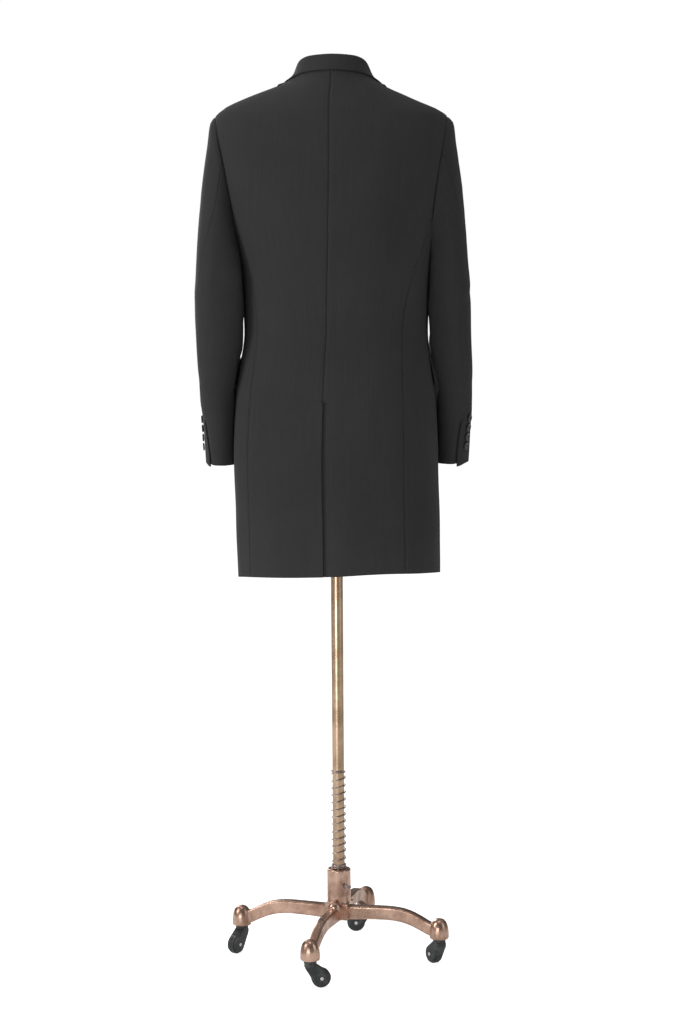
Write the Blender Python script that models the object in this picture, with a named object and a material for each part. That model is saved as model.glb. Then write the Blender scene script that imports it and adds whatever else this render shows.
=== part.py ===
"""A long tailored coat on a wheeled dress form.

Metres, +Z up. The floor is z = 0, the coat's front faces -Y and the wearer's left is +X.
The coat is cut as a tailor cuts it: backs with a centre vent, side bodies, fronts with lapels,
a collar, two-piece sleeves, pocket flaps and buttons. Every cloth piece is a wall of real
thickness over one torso shape, so neighbouring pieces meet at their seams.
"""

import functools
import math

import bmesh
import bpy
import numpy as np
from mathutils import Matrix, Vector

# Cloth
CLOTH = 0.0025
SEAM_HALF_GAP = 0.0003
LAY_GAP = 0.0004
LAY_ROOM = 0.0013
LAP_DROP = CLOTH + 0.0009

# Heights on the coat
UNDERARM_Z = 1.345
SEAM_TOP_Z = 1.410
SHOULDER_END_Z = 1.600
NECK_SIDE_Z = 1.664
NECK_BACK_Z = 1.683
BREAK_Z = 1.320
VENT_TOP_SHARE = 0.483
VENT_LAP_SHARE = 0.466

# Half widths on the coat
SHOULDER_END_X = 0.2165
NECK_SIDE_X = 0.0855
FRONT_LAP_X = 0.018

# The hem: height at the middle, and how it falls towards the left and the front
HEM_Z = 0.742
HEM_FALL_LEFT = 0.035
HEM_FALL_FRONT = 0.086

# Torso sections: height, half width, depth behind and before, shift to the left, turn in degrees, squareness
TORSO = (
    (0.700, 0.1900, 0.1360, 0.1360, -0.0050, -12.6, 2.5),
    (0.850, 0.1925, 0.1360, 0.1340, -0.0030, -12.0, 2.5),
    (0.970, 0.1925, 0.1340, 0.1310, 0.0000, -11.3, 2.5),
    (1.080, 0.1875, 0.1250, 0.1250, 0.0000, -10.5, 2.5),
    (1.140, 0.1800, 0.1160, 0.1210, -0.0005, -9.8, 2.4),
    (1.200, 0.1730, 0.1090, 0.1190, -0.0015, -9.0, 2.4),
    (1.280, 0.1765, 0.1160, 0.1300, -0.0020, -8.0, 2.4),
    (1.345, 0.1830, 0.1230, 0.1390, -0.0030, -7.0, 2.5),
    (1.410, 0.1945, 0.1270, 0.1420, -0.0010, -5.5, 2.5),
    (1.460, 0.2035, 0.1270, 0.1360, 0.0000, -4.4, 2.5),
    (1.520, 0.2135, 0.1225, 0.1220, 0.0020, -3.0, 2.5),
    (1.565, 0.2185, 0.1145, 0.1060, 0.0040, -2.2, 2.4),
    (1.600, 0.2165, 0.1050, 0.0900, 0.0050, -1.6, 2.3),
    (1.631, 0.2165, 0.0935, 0.0780, 0.0040, -1.6, 2.2),
    (1.660, 0.2165, 0.0835, 0.0690, 0.0010, -2.0, 2.1),
    (1.690, 0.2165, 0.0735, 0.0610, 0.0010, -2.0, 2.1),
)

# The shoulder line, seen from behind: half width, height
SHOULDER = (
    (0.0600, 1.6900),
    (0.0760, 1.6740),
    (0.0855, 1.6640),
    (0.1050, 1.6545),
    (0.1270, 1.6465),
    (0.1650, 1.6315),
    (0.2030, 1.6130),
    (0.2165, 1.6000),
)

# How much lower the wearer's right shoulder lies than its left: half width, fall
RIGHT_SHOULDER_FALL = (
    (0.0700, 0.0000),
    (0.1040, 0.0048),
    (0.1300, 0.0060),
    (0.1560, 0.0070),
    (0.1810, 0.0066),
    (0.2030, 0.0045),
    (0.2165, 0.0024),
)
SHOULDER_FALL_FROM_Z = 1.500
SHOULDER_FALL_HEIGHT = 0.100

# The seam between a back and its side body: height, half width
SIDE_BACK_SEAM = (
    (0.700, 0.1480),
    (0.970, 0.1470),
    (1.080, 0.1430),
    (1.200, 0.1360),
    (1.300, 0.1520),
    (1.360, 0.1700),
    (1.410, 0.1862),
)

# The seam between a front and its side body: height, half width
SIDE_FRONT_SEAM = (
    (0.700, 0.1500),
    (0.970, 0.1480),
    (1.080, 0.1440),
    (1.200, 0.1400),
    (1.300, 0.1500),
    (1.360, 0.1640),
    (1.410, 0.1826),
)

# Armhole, seen from the side
ARMHOLE_BACK_Y = 0.058
ARMHOLE_FRONT_Y = 0.074
ARMHOLE_BACK_SEAM_DEG = 118.9
ARMHOLE_FRONT_SEAM_DEG = -118.9

# Soft folds of the skirt: bearing in degrees (90 is the middle of the back), width, top, height, depth
SKIRT_FOLDS = (
    (121.0, 15.0, 1.020, 0.180, -0.0065),
    (99.0, 8.0, 0.960, 0.180, 0.0020),
    (143.0, 9.0, 0.990, 0.200, 0.0030),
    (62.0, 12.0, 0.950, 0.180, 0.0025),
    (36.0, 9.0, 0.980, 0.200, -0.0025),
    (-38.0, 10.0, 1.000, 0.200, -0.0030),
    (-62.0, 9.0, 0.960, 0.180, 0.0030),
    (-118.0, 11.0, 0.980, 0.200, 0.0030),
    (-141.0, 10.0, 1.010, 0.200, -0.0035),
)

# Sleeves from the upper arm down: height, outer x, inner x, back y, front y
SLEEVE_ROWS = {
    "left": (
        (1.300, 0.2618, 0.1810, 0.070, -0.086),
        (1.240, 0.2635, 0.1775, 0.064, -0.080),
        (1.180, 0.2615, 0.1750, 0.055, -0.080),
        (1.110, 0.2582, 0.1795, 0.040, -0.088),
        (1.075, 0.2556, 0.1811, 0.030, -0.094),
        (1.040, 0.2526, 0.1820, 0.020, -0.100),
        (0.990, 0.2506, 0.1825, 0.006, -0.111),
        (0.955, 0.2497, 0.1830, -0.004, -0.118),
    ),
    "right": (
        (1.300, 0.2517, 0.1835, 0.070, -0.086),
        (1.240, 0.2563, 0.1785, 0.064, -0.080),
        (1.180, 0.2578, 0.1785, 0.055, -0.080),
        (1.110, 0.2602, 0.1800, 0.040, -0.088),
        (1.075, 0.2597, 0.1811, 0.030, -0.094),
        (1.040, 0.2584, 0.1820, 0.020, -0.100),
        (0.990, 0.2562, 0.1825, 0.006, -0.111),
        (0.955, 0.2540, 0.1830, -0.004, -0.118),
    ),
}
# The sleeve's outer line over the shoulder and down to the upper arm: x, height
SLEEVE_HEAD = {
    "left": (
        (0.2275, 1.5965),
        (0.2315, 1.5840),
        (0.2345, 1.5600),
        (0.2450, 1.4830),
        (0.2538, 1.4090),
        (0.2600, 1.3400),
    ),
    "right": (
        (0.2205, 1.5950),
        (0.2245, 1.5830),
        (0.2268, 1.5600),
        (0.2376, 1.4830),
        (0.2438, 1.4090),
        (0.2486, 1.3400),
    ),
}
# The sleeves swell in behind the body between the underarm and the waist
SLEEVE_SWELL = 0.0110
SLEEVE_SWELL_DEG = 140.0
SLEEVE_SWELL_WIDTH = 34.0
SLEEVE_SWELL_Z = 1.265
SLEEVE_SWELL_REACH = 0.085
SLEEVE_SHIFT = 0.0021
SLEEVE_HEAD_RINGS = 7
SLEEVE_CLEARANCE = 0.0018
FLAP_CLEARANCE = 0.0122
CUFF_TILT = 0.10
SLEEVE_POWER = 0.86
# The hind-arm seam: share of the way down, bearing on the sleeve (0 faces out, 90 faces back)
HIND_SEAM = {
    "left": (
        (0.00, 84.0),
        (0.23, 62.0),
        (0.42, 42.0),
        (0.58, 28.0),
        (0.77, 25.0),
        (0.857, 35.0),
        (0.929, 45.0),
        (1.00, 52.0),
    ),
    "right": (
        (0.00, 80.0),
        (0.23, 46.0),
        (0.42, 24.0),
        (0.63, 10.0),
        (0.715, 8.0),
        (0.786, 32.0),
        (0.857, 66.0),
        (0.929, 76.0),
        (1.00, 78.0),
    ),
}
FORE_SEAM_DEG = -108.0

# Lapels: the roll line runs from the break to the neck; the edge is given by x and height
ROLL_POWER = 1.12
LAPEL_EDGE = ((-0.0100, 1.3350), (0.0180, 1.3900), (0.0650, 1.4700), (0.1120, 1.5380), (0.1470, 1.5760))
GORGE_TOP_Z = 1.628
LAPEL_START_SHARE = {"left": 0.0, "right": 0.26}

# Collar stations from the middle of the back to the front end: share of the way round,
# fold x, y, z; leaf edge x, z, side (1 behind, -1 before); stand foot x, z.
# The leaf's point is the last but one; from there its short end runs in to the lapel.
COLLAR = (
    (0.00, 0.0000, 0.0690, 1.7070, 0.0000, 1.6765, 1, 0.0000, 1.6836),
    (0.18, 0.0395, 0.0600, 1.7050, 0.0475, 1.6735, 1, 0.0445, 1.6784),
    (0.36, 0.0595, 0.0330, 1.6990, 0.0795, 1.6640, 1, 0.0725, 1.6694),
    (0.54, 0.0665, -0.0020, 1.6890, 0.0955, 1.6590, 1, 0.0830, 1.6658),
    (0.72, 0.0685, -0.0400, 1.6750, 0.1095, 1.6400, -1, 0.0790, 1.6560),
    (0.92, 0.0700, -0.0680, 1.6510, 0.1270, 1.6150, -1, 0.0730, 1.6380),
    (1.00, 0.0722, -0.0760, 1.6365, 0.1080, 1.6083, -1, 0.0705, 1.6340),
)
COLLAR_SHARES = (0.0, 0.09, 0.18, 0.27, 0.36, 0.45, 0.54, 0.63, 0.72, 0.82, 0.92, 0.96, 1.0)
LEAF_GAP = 0.0030
FOOT_GAP = 0.0014
# Extra room where the collar crosses the shoulder seam
RIDGE_ROOM = 0.0028
RIDGE_REACH = 0.035

# Pocket flaps, on the hips: y of the rear and front end, top and bottom height
FLAP_REAR_Y = 0.008
FLAP_FRONT_Y = -0.100
FLAP_TOP_Z = 1.156
FLAP_BOTTOM_Z = 1.099
FLAP_LIFT = 0.0040

# Buttons
CUFF_BUTTON_RADIUS = 0.0075
CUFF_BUTTON_THICKNESS = 0.0034
CUFF_BUTTON_TOP_Z = 1.0365
CUFF_BUTTON_PITCH = 0.0175
# How far round the sleeve the buttons lie from the hind-arm seam
CUFF_BUTTON_FROM_SEAM_DEG = {"left": 34.0, "right": 28.0}
FRONT_BUTTON_RADIUS = 0.0105
FRONT_BUTTON_THICKNESS = 0.0040
# Front buttons: height, and room over the cloth, which is hollow at the waist
FRONT_BUTTONS = ((1.300, 0.0005), (1.190, 0.0014), (1.080, 0.0005))

# Dress form: height, distance inside the coat's outer face
FORM_INSET = (
    (0.860, 0.0160),
    (1.000, 0.0150),
    (1.200, 0.0130),
    (1.400, 0.0130),
    (1.520, 0.0120),
    (1.580, 0.0112),
    (1.600, 0.0092),
    (1.658, 0.0060),
)
# The form's shoulder ends are drawn in a little more than the rest
FORM_SHOULDER_DRAW = 0.0052
FORM_BOTTOM_Z = 0.860
FORM_RINGS_Z = (
    *(0.870, 0.930, 1.000, 1.080, 1.140, 1.200, 1.270, 1.345),
    *(1.420, 1.490, 1.550, 1.585, 1.605, 1.622, 1.638, 1.650),
)
FORM_EDGE_SHARE = 0.94
FORM_AROUND = 28
# The form's neck: height, half width, centre y, half depth
FORM_NECK = (
    (1.6620, 0.0690, 0.0030, 0.0620),
    (1.6760, 0.0560, 0.0030, 0.0520),
    (1.6960, 0.0535, 0.0030, 0.0495),
    (1.7010, 0.0440, 0.0030, 0.0400),
)
POLE_SOCKET_DEPTH = 0.060

# Stand
BASE_TURN_DEG = -15.75
POLE_RADIUS = 0.0113
POLE_CLEARANCE = 0.0004
POLE_FOOT_Z = 0.084
HUB_RADIUS = 0.0225
HUB_TOP_Z = 0.1755
HUB_FOOT_Z = 0.0788
HUB_BLOCK_HALF = 0.0228
HUB_BLOCK_TOP_Z = 0.1110
SPRING_TOP_Z = 0.3660
SPRING_WIRE_RADIUS = 0.0012
SPRING_COIL_RADIUS = 0.0133
SPRING_OPEN_TURNS = 12.6
SPRING_CLOSED_TURNS = (2.6, 1.2)
SPRING_SIDES = 4
SPRING_STEPS_PER_TURN = 10
LEG_REACH = 0.197
# Room between pieces that turn or slide in one another, and how far a cutter runs past what it cuts
RUNNING_GAP = 0.0003
CUTTER_MARGIN = 0.0200
# A leg's bar: distance out, top, foot, half width
LEG_BAR = (
    (0.0231, 0.1051, 0.0786, 0.0097),
    (0.0600, 0.1062, 0.0805, 0.0092),
    (0.0950, 0.1070, 0.0818, 0.0090),
    (0.1200, 0.1055, 0.0800, 0.0089),
    (0.1400, 0.1010, 0.0748, 0.0088),
    (0.1600, 0.0925, 0.0662, 0.0086),
    (0.1780, 0.0830, 0.0578, 0.0084),
    (0.1960, 0.0760, 0.0540, 0.0082),
)
LEG_EDGE_BEVEL = 0.0022
# The cap at a leg's end: radius, height
CAP_PROFILE = (
    (0.0178, 0.0520),
    (0.0177, 0.0640),
    (0.0166, 0.0740),
    (0.0137, 0.0830),
    (0.0084, 0.0888),
    (0.0, 0.0903),
)
KNUCKLE_RADIUS = 0.0125
KNUCKLE_REACH = 0.0340
KNUCKLE_Z = 0.1065
KNUCKLE_FLATNESS = 0.84
LEG_NAMES = ("left", "back", "right", "front")

# Casters: one hooded wheel under each leg's cap
CASTER_TOP_Z = 0.0517
CASTER_COLLAR_RADIUS = 0.0120
CASTER_COLLAR_FOOT_Z = 0.0465
HOOD_TOP_RADIUS = 0.0100
HOOD_TOP_Z = 0.0400
HOOD_CHEEK_RADIUS = 0.0160
HOOD_HALF_WIDTH = 0.0100
SLOT_HALF_WIDTH = 0.0062
SLOT_RADIUS = 0.0187
WHEEL_RADIUS = 0.0180
WHEEL_HALF_WIDTH = 0.0056
WHEEL_BORE = 0.0031
WHEEL_TREAD_EDGE = 0.0012
WHEEL_AROUND = 20
CASTER_TRAIL = 0.0200
AXLE_RADIUS = 0.0027
AXLE_HALF_LENGTH = 0.0112
# Which way each caster trails, in degrees from +X
CASTER_TRAIL_DEG = {"left": 56.6, "back": 191.5, "right": -61.6, "front": 0.0}

# Lock screw in the hub
SCREW_BEARING_DEG = 122.0
SCREW_Z = 0.1450
SCREW_SHANK_RADIUS = 0.0028
SCREW_HEAD_RADIUS = 0.0048
SCREW_HEAD_LENGTH = 0.0050
SCREW_RING_RADIUS = 0.0058
SCREW_RING_WIRE = 0.0011

SIDES = {"left": 1.0, "right": -1.0}


def smooth_curve(xs, ys):
    """A shape-keeping cubic through the points, as a function of x."""
    xs = np.asarray(xs, float)
    ys = np.asarray(ys, float)
    steps = np.diff(xs)
    slopes = np.diff(ys) / steps
    tangents = np.zeros(len(xs))
    tangents[0] = slopes[0]
    tangents[-1] = slopes[-1]
    for k in range(1, len(xs) - 1):
        if slopes[k - 1] * slopes[k] > 0.0:
            before = 2.0 * steps[k] + steps[k - 1]
            after = steps[k] + 2.0 * steps[k - 1]
            tangents[k] = (before + after) / (before / slopes[k - 1] + after / slopes[k])

    def value(x):
        x = np.clip(x, xs[0], xs[-1])
        k = np.clip(np.searchsorted(xs, x) - 1, 0, len(xs) - 2)
        h = steps[k]
        t = (x - xs[k]) / h
        return (
            (1 + 2 * t) * (1 - t) ** 2 * ys[k]
            + t * (1 - t) ** 2 * h * tangents[k]
            + t * t * (3 - 2 * t) * ys[k + 1]
            + t * t * (t - 1) * h * tangents[k + 1]
        )

    return value


def column(table, x_at, y_at):
    rows = sorted(table, key=lambda row: row[x_at])
    return smooth_curve([row[x_at] for row in rows], [row[y_at] for row in rows])


def ramp(x):
    """0 below 0, 1 above 1, smooth between."""
    t = min(max(x, 0.0), 1.0)
    return t * t * (3.0 - 2.0 * t)


def blend(a, b, share):
    return a + (b - a) * share


shoulder_height = column(SHOULDER, 0, 1)
right_fall = column(RIGHT_SHOULDER_FALL, 0, 1)
low_half_width = column(TORSO, 0, 1)
back_depth = column(TORSO, 0, 2)
front_depth = column(TORSO, 0, 3)
torso_shift = column(TORSO, 0, 4)
torso_turn = column(TORSO, 0, 5)
squareness = column(TORSO, 0, 6)
side_back_x = column(SIDE_BACK_SEAM, 0, 1)
side_front_x = column(SIDE_FRONT_SEAM, 0, 1)


def half_width(z):
    """The section's half width: up to the shoulder end from the table, above it from the shoulder line."""
    if z <= SHOULDER_END_Z:
        return float(low_half_width(z))
    near = SHOULDER[0][0]
    far = SHOULDER_END_X
    for _ in range(40):
        middle = 0.5 * (near + far)
        if shoulder_height(middle) > z:
            near = middle
        else:
            far = middle
    return 0.5 * (near + far)


def depth(z, behind):
    return float(back_depth(z)) if behind else float(front_depth(z))


def y_on_torso(x, z, behind):
    n = float(squareness(z))
    share = min(abs(x) / half_width(z), 1.0)
    y = depth(z, behind) * (1.0 - share**n) ** (1.0 / n)
    return y if behind else -y


def x_on_torso(y, z):
    n = float(squareness(z))
    share = min(abs(y) / depth(z, y > 0.0), 1.0)
    return half_width(z) * (1.0 - share**n) ** (1.0 / n)


def torso_normal(x, y, z):
    """The torso's outward direction at a point of it, from the slope of its section formula."""
    n = float(squareness(z))
    step = 0.001
    wide = half_width(z)
    deep = depth(z, y > 0.0)
    wide_slope = (half_width(z + step) - half_width(z - step)) / (2.0 * step)
    deep_slope = (depth(z + step, y > 0.0) - depth(z - step, y > 0.0)) / (2.0 * step)
    across = (abs(x) / wide) ** n
    along = (abs(y) / deep) ** n
    normal = Vector(
        (
            math.copysign((abs(x) / wide) ** (n - 1.0) / wide, x),
            math.copysign((abs(y) / deep) ** (n - 1.0) / deep, y),
            -(across * wide_slope / wide + along * deep_slope / deep),
        )
    )
    return normal.normalized()


def drape(x, y, z):
    """How far the hanging skirt stands out or in at its soft folds."""
    bearing = math.degrees(math.atan2(y / depth(z, y > 0.0), x / half_width(z)))
    total = 0.0
    for centre, width, top, height, reach in SKIRT_FOLDS:
        away = (bearing - centre + 180.0) % 360.0 - 180.0
        total += reach * math.exp(-((away / width) ** 2)) * ramp((top - z) / height)
    return total


def placed(x, y, z, out=0.0):
    """A point of the torso, moved out from it, then turned and shifted as the coat hangs."""
    point = Vector((x, y, z)) + torso_normal(x, y, z) * (out + drape(x, y, z))
    angle = math.radians(float(torso_turn(z)))
    cos, sin = math.cos(angle), math.sin(angle)
    return Vector(
        (
            point.x * cos - point.y * sin + float(torso_shift(z)),
            point.x * sin + point.y * cos,
            point.z - shoulder_fall(x, z),
        )
    )


def shoulder_fall(x, z):
    """How much lower a point hangs on the wearer's right, whose shoulder slopes more."""
    if x > -RIGHT_SHOULDER_FALL[0][0] or z < SHOULDER_FALL_FROM_Z:
        return 0.0
    half = min(-x, RIGHT_SHOULDER_FALL[-1][0])
    return float(right_fall(half)) * ramp((z - SHOULDER_FALL_FROM_Z) / SHOULDER_FALL_HEIGHT)


def hem_height(x, y):
    return HEM_Z - HEM_FALL_LEFT * x + HEM_FALL_FRONT * y


def armhole_point(bearing_deg, side):
    """A point of the armhole edge: 0 is the shoulder end, positive bearings run down the back."""
    bearing = math.radians(bearing_deg)
    z = 0.5 * (SHOULDER_END_Z + UNDERARM_Z) + 0.5 * (SHOULDER_END_Z - UNDERARM_Z) * math.cos(bearing)
    sway = math.sin(bearing)
    y = ARMHOLE_BACK_Y * sway**0.9 if sway > 0.0 else -ARMHOLE_FRONT_Y * (-sway) ** 0.85
    return side * x_on_torso(y, z), y, z


def resampled(points, shares):
    """Points at the given shares of a polyline's length."""
    points = np.array(points, float)
    lengths = np.concatenate([[0.0], np.cumsum(np.linalg.norm(np.diff(points, axis=0), axis=1))])
    wanted = np.asarray(shares) * lengths[-1]
    return np.stack([np.interp(wanted, lengths, points[:, k]) for k in range(3)], axis=1)


def new_material(name, colour, roughness, metallic=0.0):
    material = bpy.data.materials.new(name)
    material.use_nodes = True
    shader = material.node_tree.nodes["Principled BSDF"]
    shader.inputs["Base Color"].default_value = (*colour, 1.0)
    shader.inputs["Roughness"].default_value = roughness
    shader.inputs["Metallic"].default_value = metallic
    material.diffuse_color = (*colour, 1.0)
    return material


def new_object(name, mesh_data, material, parent, smooth_deg=35.0):
    mesh = bpy.data.meshes.new(name)
    mesh_data.to_mesh(mesh)
    mesh_data.free()
    mesh.materials.append(material)
    mesh.shade_smooth()
    mesh.set_sharp_from_angle(angle=math.radians(smooth_deg))
    made = bpy.data.objects.new(name, mesh)
    bpy.context.scene.collection.objects.link(made)
    made.parent = parent
    return made


def wall_mesh(outer, inner, present=None):
    """A closed wall between two grids of points; present says which cells the cloth covers."""
    rows = len(outer)
    columns = len(outer[0])
    if present is None:
        present = [[True] * (columns - 1) for _ in range(rows - 1)]
    mesh = bmesh.new()
    made = {}

    def corner(layer, r, c):
        key = (layer, r, c)
        if key not in made:
            made[key] = mesh.verts.new(Vector((outer if layer == 0 else inner)[r][c]))
        return made[key]

    def filled(r, c):
        return 0 <= r < rows - 1 and 0 <= c < columns - 1 and present[r][c]

    for r in range(rows - 1):
        for c in range(columns - 1):
            if not present[r][c]:
                continue
            ring = ((r, c), (r, c + 1), (r + 1, c + 1), (r + 1, c))
            mesh.faces.new([corner(0, *at) for at in ring])
            mesh.faces.new([corner(1, *at) for at in reversed(ring)])
            beyond = ((r - 1, c), (r, c + 1), (r + 1, c), (r, c - 1))
            for k in range(4):
                if not filled(*beyond[k]):
                    start, end = ring[k], ring[(k + 1) % 4]
                    mesh.faces.new([corner(0, *start), corner(1, *start), corner(1, *end), corner(0, *end)])
    bmesh.ops.recalc_face_normals(mesh, faces=mesh.faces)
    return mesh


def torso_wall(grid, out=0.0, thickness=CLOTH, lift=None, present=None):
    """A wall over torso points (x, y, z); lift adds to the distance out at each grid point."""
    outer = []
    inner = []
    for r, row in enumerate(grid):
        outs = [out + (lift[r][c] if lift else 0.0) for c in range(len(row))]
        outer.append([placed(*point, outs[c]) for c, point in enumerate(row)])
        inner.append([placed(*point, outs[c] - thickness) for c, point in enumerate(row)])
    return wall_mesh(outer, inner, present)


LOW_SHARES = (0.0, 0.12, 0.24, 0.36, VENT_LAP_SHARE, VENT_TOP_SHARE, 0.57, 0.65, 0.73, 0.80, 0.88, 0.94, 1.0)
HIGH_SHARES = (0.14, 0.28, 0.42, 0.55, 0.67, 0.79, 0.90, 1.0)


def low_column(x_of, behind):
    """One column of a back or front from the hem to the foot of the armhole."""
    points = []
    for share in LOW_SHARES:
        z = HEM_Z
        for _ in range(4):
            x = x_of(z)
            y = y_on_torso(x, z, behind)
            z = blend(hem_height(x, y), SEAM_TOP_Z, share)
        points.append((x_of(z), y_on_torso(x_of(z), z, behind), z))
    return points


def neck_height(x):
    """The back neckline's height, from the side of the neck to the middle of the back."""
    return blend(NECK_BACK_Z, NECK_SIDE_Z, (abs(x) / NECK_SIDE_X) ** 2)


def high_column(x_low, x_top, z_top, behind):
    """The rows of one column from the foot of the armhole to the neckline or the shoulder seam."""
    dense = []
    for t in np.linspace(0.0, 1.0, 80):
        share = math.sin(0.5 * math.pi * t)
        z = blend(SEAM_TOP_Z, z_top, share)
        x = blend(x_low, x_top, share)
        wide = half_width(z)
        if abs(x) > wide:
            x = math.copysign(wide, x)
        dense.append((x, y_on_torso(x, z, behind), z))
    return resampled(dense, HIGH_SHARES)


def armhole_column(seam_deg, side, trim):
    """The rows of a back's or front's outer edge from the side seam up the armhole to the shoulder end."""
    dense = [armhole_point(bearing, side) for bearing in np.linspace(seam_deg, 0.0, 60)]
    rows = resampled(dense, HIGH_SHARES)
    return [on_torso_at(x - side * trim, y, z) for x, y, z in rows]


def on_torso_at(x, y, z):
    """The torso point at this x and height, on the side of this y."""
    x = math.copysign(min(abs(x), half_width(z)), x)
    return x, y_on_torso(x, z, y >= 0.0), z


BACK_SHARES = (0.0, 0.06, 0.15, 0.28, 0.42, 0.56, 0.71, 0.86, 1.0)
BACK_TOP_X = (0.0, 0.013, 0.038, 0.062, 0.0775, NECK_SIDE_X, 0.128, 0.172, SHOULDER_END_X)
VENT_LAP_REACH = (0.040, 0.020)
VENT_DIP_REACH = 0.024


def back_grid(side):
    """Rows of torso points from the middle of the back out to the side seam and the armhole."""
    columns = []
    for share, x_top in zip(BACK_SHARES, BACK_TOP_X):
        edge = share == 1.0

        def x_of(z, share=share, edge=edge):
            trim = SEAM_HALF_GAP if edge else 0.0
            return side * (max(SEAM_HALF_GAP, share * float(side_back_x(z))) - trim)

        low = low_column(x_of, True)
        if edge:
            high = armhole_column(ARMHOLE_BACK_SEAM_DEG, side, SEAM_HALF_GAP)
        else:
            x_top = side * max(SEAM_HALF_GAP, x_top)
            z_top = neck_height(x_top) if abs(x_top) < NECK_SIDE_X else float(shoulder_height(abs(x_top)))
            high = high_column(x_of(SEAM_TOP_Z), x_top, z_top, True)
        columns.append(low + [tuple(point) for point in high])
    return [list(row) for row in zip(*columns)]


def behind_shoulder_seam(grid, behind):
    """The top row kept just off the shoulder seam."""
    for c, (x, y, z) in enumerate(grid[-1]):
        if abs(x) >= NECK_SIDE_X - 1e-6:
            grid[-1][c] = (x, (SEAM_HALF_GAP if behind else -SEAM_HALF_GAP), z)
    return grid


def make_back(side_name, material, parent):
    side = SIDES[side_name]
    grid = behind_shoulder_seam(back_grid(side), True)
    if side_name == "left":
        mesh = torso_wall(grid)
    else:
        lap_rows = sum(1 for share in LOW_SHARES if share <= VENT_LAP_SHARE)
        lift = []
        wide_grid = []
        for r, row in enumerate(grid):
            low = r < lap_rows
            z = row[0][2]
            extra = [(reach, y_on_torso(reach, z, True), z) for reach in VENT_LAP_REACH]
            wide_grid.append(extra + row)
            inward = [max(-x, 0.0) for x, _, _ in extra + row]
            lifts = [-LAP_DROP * ramp(1.0 - reach / VENT_DIP_REACH) for reach in inward]
            lift.append(lifts if low else [0.0] * len(lifts))
        columns = len(wide_grid[0])
        present = [
            [c >= len(VENT_LAP_REACH) or r < lap_rows - 1 for c in range(columns - 1)]
            for r in range(len(wide_grid) - 1)
        ]
        mesh = torso_wall(wide_grid, lift=lift, present=present)
    return new_object(f"back_{side_name}", mesh, material, parent)


SIDE_COLUMNS = 5
SIDE_LOW_SHARES = tuple(share for share in LOW_SHARES if share <= 0.80)
SIDE_HIGH_SHARES = (0.4, 0.7, 1.0)


def section_angle(x, y, z):
    n = float(squareness(z))
    across = (abs(x) / half_width(z)) ** (n / 2.0)
    along = (abs(y) / depth(z, y > 0.0)) ** (n / 2.0)
    return math.copysign(math.atan2(along, across), y)


def at_section_angle(angle, z, side):
    n = float(squareness(z))
    x = half_width(z) * abs(math.cos(angle)) ** (2.0 / n)
    y = depth(z, angle > 0.0) * abs(math.sin(angle)) ** (2.0 / n)
    return side * x, math.copysign(y, angle), z


def side_body_ends(z):
    """The section angles at the side body's back and front seams, trimmed by the seam gap."""
    x_back = float(side_back_x(z)) + SEAM_HALF_GAP
    x_front = float(side_front_x(z)) + SEAM_HALF_GAP
    back = section_angle(x_back, y_on_torso(x_back, z, True), z)
    front = section_angle(x_front, y_on_torso(x_front, z, False), z)
    return back, front


def make_side_body(side_name, material, parent):
    side = SIDES[side_name]
    grid = []
    for share in SIDE_LOW_SHARES:
        row = []
        for c in range(SIDE_COLUMNS + 1):
            z = HEM_Z
            for _ in range(4):
                back, front = side_body_ends(z)
                angle = blend(back, front, c / SIDE_COLUMNS)
                x, y, _ = at_section_angle(angle, z, side)
                z = blend(hem_height(x, y), SEAM_TOP_Z, share)
            row.append(at_section_angle(angle, z, side))
        grid.append(row)
    below = grid[-1]
    for share in SIDE_HIGH_SHARES:
        row = []
        for c in range(SIDE_COLUMNS + 1):
            turn = blend(ARMHOLE_BACK_SEAM_DEG, 360.0 + ARMHOLE_FRONT_SEAM_DEG, c / SIDE_COLUMNS)
            x_top, y_top, z_top = armhole_point(turn if turn <= 180.0 else turn - 360.0, side)
            z_top -= SEAM_HALF_GAP
            z = blend(below[c][2], z_top, share)
            back, front = side_body_ends(z)
            low_angle = blend(back, front, c / SIDE_COLUMNS)
            top_angle = section_angle(x_top, y_top, z_top)
            if c == 0:
                top_angle = back
            if c == SIDE_COLUMNS:
                top_angle = front
            row.append(at_section_angle(blend(low_angle, top_angle, share), z, side))
        grid.append(row)
    return new_object(f"side_{side_name}", torso_wall(grid), material, parent)


def roll_x(z):
    """The roll line of the wearer's left lapel: it crosses the middle below and reaches the neck above."""
    share = min(max((z - BREAK_Z) / (NECK_SIDE_Z - BREAK_Z), 0.0), 1.0)
    return blend(-FRONT_LAP_X, NECK_SIDE_X, share**ROLL_POWER)


FRONT_SHARES = (0.0, 0.10, 0.22, 0.38, 0.58, 0.79, 1.0)
FRONT_TOP_X = (NECK_SIDE_X, 0.100, 0.118, 0.138, 0.163, 0.190, SHOULDER_END_X)
FRONT_DIP_START = 0.012
FRONT_DIP_REACH = 0.036
FRONT_DIP_TOP_Z = 1.415
FRONT_DIP_FADE = 0.040


def front_grid(side):
    columns = []
    for share, x_top in zip(FRONT_SHARES, FRONT_TOP_X):
        edge = share == 1.0

        def x_of(z, share=share, edge=edge):
            trim = SEAM_HALF_GAP if edge else 0.0
            return side * (blend(roll_x(z), float(side_front_x(z)), share) - trim)

        low = low_column(x_of, False)
        if edge:
            high = armhole_column(ARMHOLE_FRONT_SEAM_DEG, side, SEAM_HALF_GAP)
        else:
            high = front_high_column(x_of, x_top, share, side)
        columns.append(low + [tuple(point) for point in high])
    return [list(row) for row in zip(*columns)]


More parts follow.
